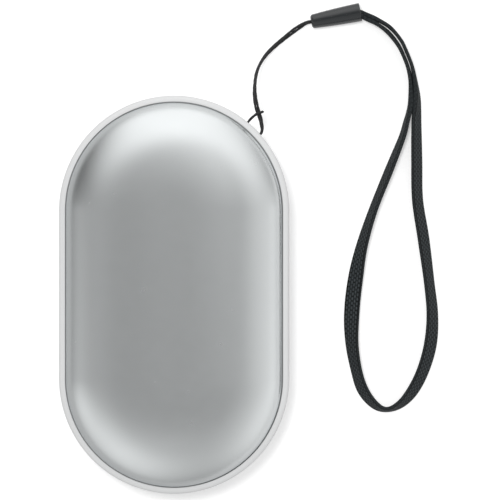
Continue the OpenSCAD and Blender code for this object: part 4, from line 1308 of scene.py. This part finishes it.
@dataclass(frozen=True)
class WovenBand:
    """The flat woven band: it stands on its lower edge round the hand loop, gathered at the bead.

    Its route is x and y in millimetres and tilt in degrees, and gather holds its widths in
    millimetres at each end of the route. It is plump where its two ends press together: x, y,
    reach and extra thickness in millimetres. Each pair for the rolled edge's tone and the float
    relief is the share between the floats and what a float adds to it; what a float adds to the
    tone is painted sheen.
    """

    bead: Bead
    thickness: float = 0.98 * MM
    width: float = 4.4
    gather: Pair = (3.2, 4)
    end_width: float = 2.6 * MM
    step: float = 0.25 * MM
    curve_steps: int = 10
    across: int = 28
    flat: float = 0.86
    columns: int = 5
    selvage: float = 0.2
    selvage_relief: float = 0.75
    selvage_tone: float = 0.12
    # Tone of the rolled edge: a darker base, and the painted sheen that a float adds.
    edge_tone_and_sheen: Pair = (0.22, 0.28)
    float_len: float = 1.25 * MM
    float_relief: Pair = (0.3, 0.7)
    float_power: float = 0.7
    face_shift: float = 0.25
    relief: float = 0.1 * MM
    route: tuple[Point, ...] = (
        (51.5, 75.4, 88), (54.6, 73.95, 87), (58, 71.8, 87), (60.85, 68.4, 84), (62.3, 65.4, 86),
        (63.75, 61.7, 85), (64.55, 58, 82), (65.05, 54, 77), (65.1, 50.6, 69), (65, 46, 57),
        (65.1, 36, 50), (65.3, 25.5, 50), (66.9, 15, 46), (68.4, 3.5, 53), (69.3, -5.5, 47),
        (68.8, -13.5, 39), (66.8, -20.6, 42), (64, -26.1, 47), (60.7, -29.7, 64), (57, -31.2, 79),
        (53.7, -29.9, 66), (50.6, -26, 53), (48.8, -20.5, 54), (47.6, -13, 42), (47.6, -5, 23),
        (48.5, 3.5, 26), (50.2, 12.5, 51), (53.3, 22.5, 67), (57.6, 33.3, 68), (61.1, 42.1, 76),
        (62.2, 46, 80), (63.35, 50.55, 88), (63.5, 54, 93), (63.4, 57.9, 97), (62.65, 61.3, 96),
        (61.25, 64.9, 96), (59.75, 67.65, 98), (57.2, 70.7, 99), (54.15, 72.95, 95),
        (51.2, 74.4, 94))
    floor_side: Pair = (0.4 * MM, -0.6 * MM)
    rim_side: Pair = (0.0, -1 * MM)
    plump: tuple[Quad, ...] = (
        (52.6, 74.5, 2.6, 0.22), (64.2, 52.4, 4, 0.44))

    def stations(self) -> Rows:
        """Rows of x, y, height of the middle, tilt and width, from the bead and back to it."""
        floor = self.bead.length - self.bead.mouth_depth
        ends = []
        for sides in zip(self.floor_side, self.rim_side):
            ends.append([(*self.bead.point(floor + i * self.bead.mouth_depth, side),
                          pi / 2, self.end_width) for i, side in enumerate(sides)])
        full = [self.width] * (len(self.route) - 2 * len(self.gather))
        rows = []
        for (x, y, tilt), width in zip(self.route, [*self.gather, *full, *self.gather[::-1]]):
            t, w = radians(tilt), width * MM
            height = w / 2 * sin(t) + self.thickness / 2 * abs(cos(t))
            rows.append((x * MM, y * MM, height, t, w))
        return np.array(ends[0] + rows + ends[1][::-1])

    def depth(self, line: Rows) -> Rows:
        """Half the thickness along the band, which is plumper where its two ends press together.

        Args:
            line: The band's middle line.

        Returns:
            A column of depths.
        """
        whole = np.full(len(line), self.thickness - 2 * self.relief)
        for x, y, reach, extra in self.plump:
            off = np.hypot(line[:, 0] - x * MM, line[:, 1] - y * MM) / (reach * MM)
            whole += extra * MM * np.exp(-off ** 2)
        return whole[:, None] / 2

    def outline(self) -> list[tuple[float, float, bool]]:
        """The section: share across, share through, and whether this is a face."""
        flat = self.flat
        half = [(-flat + 2 * flat * k / self.across, 1.0, True) for k in range(self.across + 1)]
        half += [(flat + (1 - flat) * sin(a), cos(a), False)
                 for a in map(radians, range(30, 151, 30))]
        return half + [(-u, -t, face) for u, t, face in half]

    def weave(self, across: float, run: Rows, other: bool, face: bool) -> tuple[Rows, Rows]:
        """Relief of the weave, columns of floats between two smooth selvages, and its tone:
        painted sheen on the raised floats, painted shade between them, and a flat darker tone on
        the selvages.

        Args:
            across: Place across the band, from -1 to 1.
            run: Places along the band.
            other: Whether this is the other face.
            face: Whether this is a face at all, and not the rolled edge.

        Returns:
            Share of the relief and share of the tone, painted sheen and shade, at each place.
        """
        column = (across / (1 - self.selvage) + 1) / 2 * self.columns
        shift = (int(max(column, 0)) % 2) * 0.5 + (self.face_shift if other else 0.0)
        floats = np.abs(np.sin(pi * (run / self.float_len + shift))) ** self.float_power
        # The rolled edge: a darker tone, with painted sheen where floats lie.
        if not face:
            return np.zeros(len(run)), self.edge_tone_and_sheen[0] + self.edge_tone_and_sheen[1] * floats
        if not 0 < column < self.columns:
            return np.full(len(run), self.selvage_relief), np.full(len(run), self.selvage_tone)
        ridge = sin(pi * (column % 1)) ** self.float_power
        # The tone follows the relief: painted sheen on float tops, painted shade in the grooves.
        return ridge * (self.float_relief[0] + self.float_relief[1] * floats), ridge * floats

    def build(self, holder: MeshPiece) -> MeshPiece:
        """Args:
            holder: The bead that holds it; not used.

        Returns:
            The band.
        """
        rows = evened(smooth(self.stations(), self.curve_steps), self.step)
        line, tilt, half_w = rows[:, :3], rows[:, 3:4], rows[:, 4:5] / 2
        run = run_of(line)
        way = np.gradient(rows[:, :2], axis=0)
        way /= np.linalg.norm(way, axis=1)[:, None]
        wide = np.hstack([way[:, 1:] * np.cos(tilt), -way[:, :1] * np.cos(tilt), np.sin(tilt)])
        through = np.cross(np.hstack([way, np.zeros((len(way), 1))]), wide)
        outline, depth = self.outline(), self.depth(line)
        rings, sheen_tones = [], []
        for u, t, face in outline:
            height, tone = self.weave(u, run, t < 0, face)
            lift = height[:, None] * self.relief
            sheen_tones.append(tone)
            rings.append(line + half_w * u * wide + t * (depth + lift) * through)
        verts, faces = loft(np.stack(rings, axis=1))
        verts[:, 2] = np.maximum(verts[:, 2], 0.0)
        piece = MeshPiece.of("woven_band", (verts, faces))
        # Stores the painted sheen and shade of the weave for the band's finish.
        mark = piece.object.data.attributes.new(WEAVE_AND_SHEEN, "FLOAT", "POINT")
        mark.data.foreach_set("value", np.stack(sheen_tones, axis=1).ravel())
        self._unwrap(piece.object.data, run, len(outline))
        piece.closed(0.00001 * MM).shaded(60).finished(BAND, "band_black", "strap_band")
        self.bead.point(self.bead.length)
        [tuple(p) for p in line]
        log.info("woven band: %.1f mm long", run[-1] / MM)
        return piece

    @staticmethod
    def _unwrap(mesh: Mesh, run: Rows, around: int) -> None:
        """Lays the UV map: U round the section and V along the band.

        Args:
            mesh: The band's mesh.
            run: Place of each ring along the band.
            around: Number of points in a ring.
        """
        layer = mesh.uv_layers.new(name=UV_MAP)
        for face in mesh.polygons:
            places = [divmod(mesh.loops[k].vertex_index, around) for k in face.loop_indices]
            wraps = max(j for _, j in places) - min(j for _, j in places) > around / 2
            for k, (i, j) in zip(face.loop_indices, places):
                share = (j + around if wraps and j < around / 2 else j) / around
                layer.data[k].uv = (share, run[i])


# Studio


@dataclass(frozen=True)
class SoftBox:
    """A soft source of light round the object: its direction, sharpness and brightness."""

    azimuth: float
    from_top: float
    sharpness: float
    brightness: float

    def direction(self) -> Point:
        """Unit vector towards the source."""
        a, p = radians(self.azimuth), radians(self.from_top)
        return sin(p) * cos(a), sin(p) * sin(a), cos(p)


@dataclass(frozen=True)
class Studio:
    """A plain studio: pale floor, soft light all round, one soft lamp and the camera.

    The floor has a tone and a fill for the camera, a paper tone for plain light, and for what
    shines in the object painted shade: a dimmer tone that changes over shine_reach to both sides
    of the middle, darker towards -X.
    """

    eye: Point = (20.1 * MM, 11.84 * MM, 0.75)
    lens: float = 199.548
    sensor: float = 36.0
    clip: Pair = (0.01, 20.0)
    boxes: tuple[SoftBox, ...] = (
        SoftBox(77, 92, 5.7, 1.119), SoftBox(331, 76, 4.8, 0.849), SoftBox(235, 64, 3.4, 0.882),
        SoftBox(90, 43, 8.1, 0.806), SoftBox(36, 54, 7.6, 0.710), SoftBox(116, 78, 15.6, 0.641),
        SoftBox(260, 21, 60.0, 0.140), SoftBox(357, 83, 33.3, 0.344),
        SoftBox(48, 14, 60.0, 0.301), SoftBox(320, 31, 21.1, 0.138),
        SoftBox(195, 75, 22.5, 0.435), SoftBox(132, 49, 11.0, 0.513))
    lamp_power: float = 4.6
    lamp_size: float = 0.2
    lamp_place: Point = (-0.1, 0.14, 0.965)
    floor_half: float = 3.0
    floor_paper: float = 0.86
    floor_tone: float = 0.7
    floor_fill: float = 0.42
    # Painted shade in reflections: the floor's tone as it shines in the object, darker towards -X.
    floor_shine_shade: Pair = (0.46, 0.72)
    shine_turn: float = radians(25)
    shine_reach: float = 60 * MM

    def build(self) -> None:
        """Makes the camera, the world, the lamp and the floor, and sets the view."""
        self._camera()
        self._world()
        self._lamp()
        self._floor()
        bpy.context.scene.view_settings.view_transform = "Standard"

    def _camera(self) -> None:
        """Looks straight down, with the length of the object up the picture."""
        data = bpy.data.cameras.new("camera")
        data.sensor_width, data.lens = self.sensor, self.lens
        data.clip_start, data.clip_end = self.clip
        camera = placed("camera", data)
        camera.location = self.eye
        bpy.context.scene.camera = camera

    def _world(self) -> None:
        """Lights the object from soft boxes all round, on white for the camera."""
        world = bpy.data.worlds.new("studio")
        world.use_nodes = True
        bpy.context.scene.world = world
        tree = self._box_group()
        g = Graph(world.node_tree)
        way = g.add("ShaderNodeTexCoord").outputs["Generated"]
        total: object = 0.0
        for box in self.boxes:
            total = g.group(tree, {
                "Direction": way, "Towards": box.direction(), "Sharpness": box.sharpness,
                "Brightness": box.brightness, "Others": total}).outputs["Sum"]
        shine, white = (g.add("ShaderNodeBackground", WHITE, light) for light in (total, 1.0))
        seen = g.add("ShaderNodeLightPath").outputs["Is Camera Ray"]
        mixed = g.add("ShaderNodeMixShader", seen, shine.outputs[0], white.outputs[0])
        g.add("ShaderNodeOutputWorld", mixed.outputs[0])

    @staticmethod
    def _box_group() -> Tree:
        """Builds the group that adds one soft box to the others."""
        g = Group("Soft box", {Kind.VECTOR: "Direction, Towards",
                               Kind.VALUE: "Sharpness, Brightness, Others"}, {Kind.VALUE: "Sum"})
        facing = g.vector("DOT_PRODUCT", g.given["Direction"], g.given["Towards"])
        off = g.math("SUBTRACT", facing, 1.0)
        falloff = g.math("EXPONENT", g.product(off, g.given["Sharpness"]))
        return g.giving(Sum=g.math("MULTIPLY_ADD", falloff, g.given["Brightness"],
                                   g.given["Others"]))

    def _lamp(self) -> None:
        """Hangs the lamp whose soft shadows fall to the right and the front."""
        data = bpy.data.lights.new("lamp", "AREA")
        data.shape, data.size, data.energy = "DISK", self.lamp_size, self.lamp_power
        lamp = placed("lamp", data)
        lamp.location = self.lamp_place
        lamp.rotation_euler = Vector(self.lamp_place).to_track_quat("Z", "Y").to_euler()
        lamp.visible_camera = lamp.visible_glossy = False

    def _floor(self) -> None:
        """Lays the pale floor, white for the camera but for the shadow on it."""
        half = self.floor_half
        corners = [(-half, -half, 0), (half, -half, 0), (half, half, 0), (-half, half, 0)]
        floor = MeshPiece.of("floor", (corners, [(0, 1, 2, 3)]))
        material, g = new_material("Pale floor")
        # Painted shade for what shines in the object: the floor there is dimmer than the paper,
        # darker towards -X.
        side = (cos(self.shine_turn), sin(self.shine_turn), 0.0)
        tone = g.ramp(g.vector("DOT_PRODUCT", g.place(), side), -self.shine_reach,
                      self.shine_reach, *self.floor_shine_shade)
        gray = g.add("ShaderNodeCombineColor", tone, tone, tone).outputs[0]
        plain, seen, shine_shade = (g.add("ShaderNodeBsdfDiffuse", color).outputs[0] for color in (
            [self.floor_paper] * 3, [self.floor_tone] * 3, gray))
        fill = g.add("ShaderNodeEmission", WHITE, self.floor_fill)
        shown = g.add("ShaderNodeAddShader", seen, fill.outputs[0]).outputs[0]
        path = g.add("ShaderNodeLightPath").outputs
        surface = plain
        for ray, shader in (("Is Glossy Ray", shine_shade), ("Is Camera Ray", shown)):
            surface = g.add("ShaderNodeMixShader", path[ray], surface, shader).outputs[0]
        g.add("ShaderNodeOutputMaterial", surface)
        floor.object.data.materials.append(material)
        floor.object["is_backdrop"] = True


# Whole object


def dress_solids() -> None:
    """Gives each solid that still shows its finish."""
    for name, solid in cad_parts.items():
        if solid.hide_render:
            continue
        material = SOLIDS[SAME_AS.get(name, name).replace("back_", "front_")].material()
        if not solid.data.materials:
            solid.data.materials.append(material)
        for slot in solid.material_slots:
            slot.material = material
        log.info("%s: %s", name, material.name)


def main() -> None:
    """Builds the studio and the pieces, and reports each."""
    logging.basicConfig(level=logging.INFO, format="%(name)s: %(message)s")
    Studio().build()
    sizes, bead = CasingSizes(), Bead()
    tunnel = Tunnel(EndWall(sizes, End.STRAP, sizes.tunnel_turn))
    holder = bead.build()
    ThinCord(bead, tunnel).build(holder)
    WovenBand(bead).build(holder)
    for side in Side:
        Cover(sizes, side).build()
    MidFrame(sizes, tunnel).build()
    PowerButton(EndWall(sizes, End.INLET, sizes.button_turn)).build()
    TongueContacts(EndWall(sizes, End.INLET, sizes.inlet_turn)).build()
    dress_solids()
    corners = {"cad": cad_box, "visual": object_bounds()}
    {name: [list(corner) for corner in box] for name, box in corners.items()}


if __name__ == "__main__":
    main()
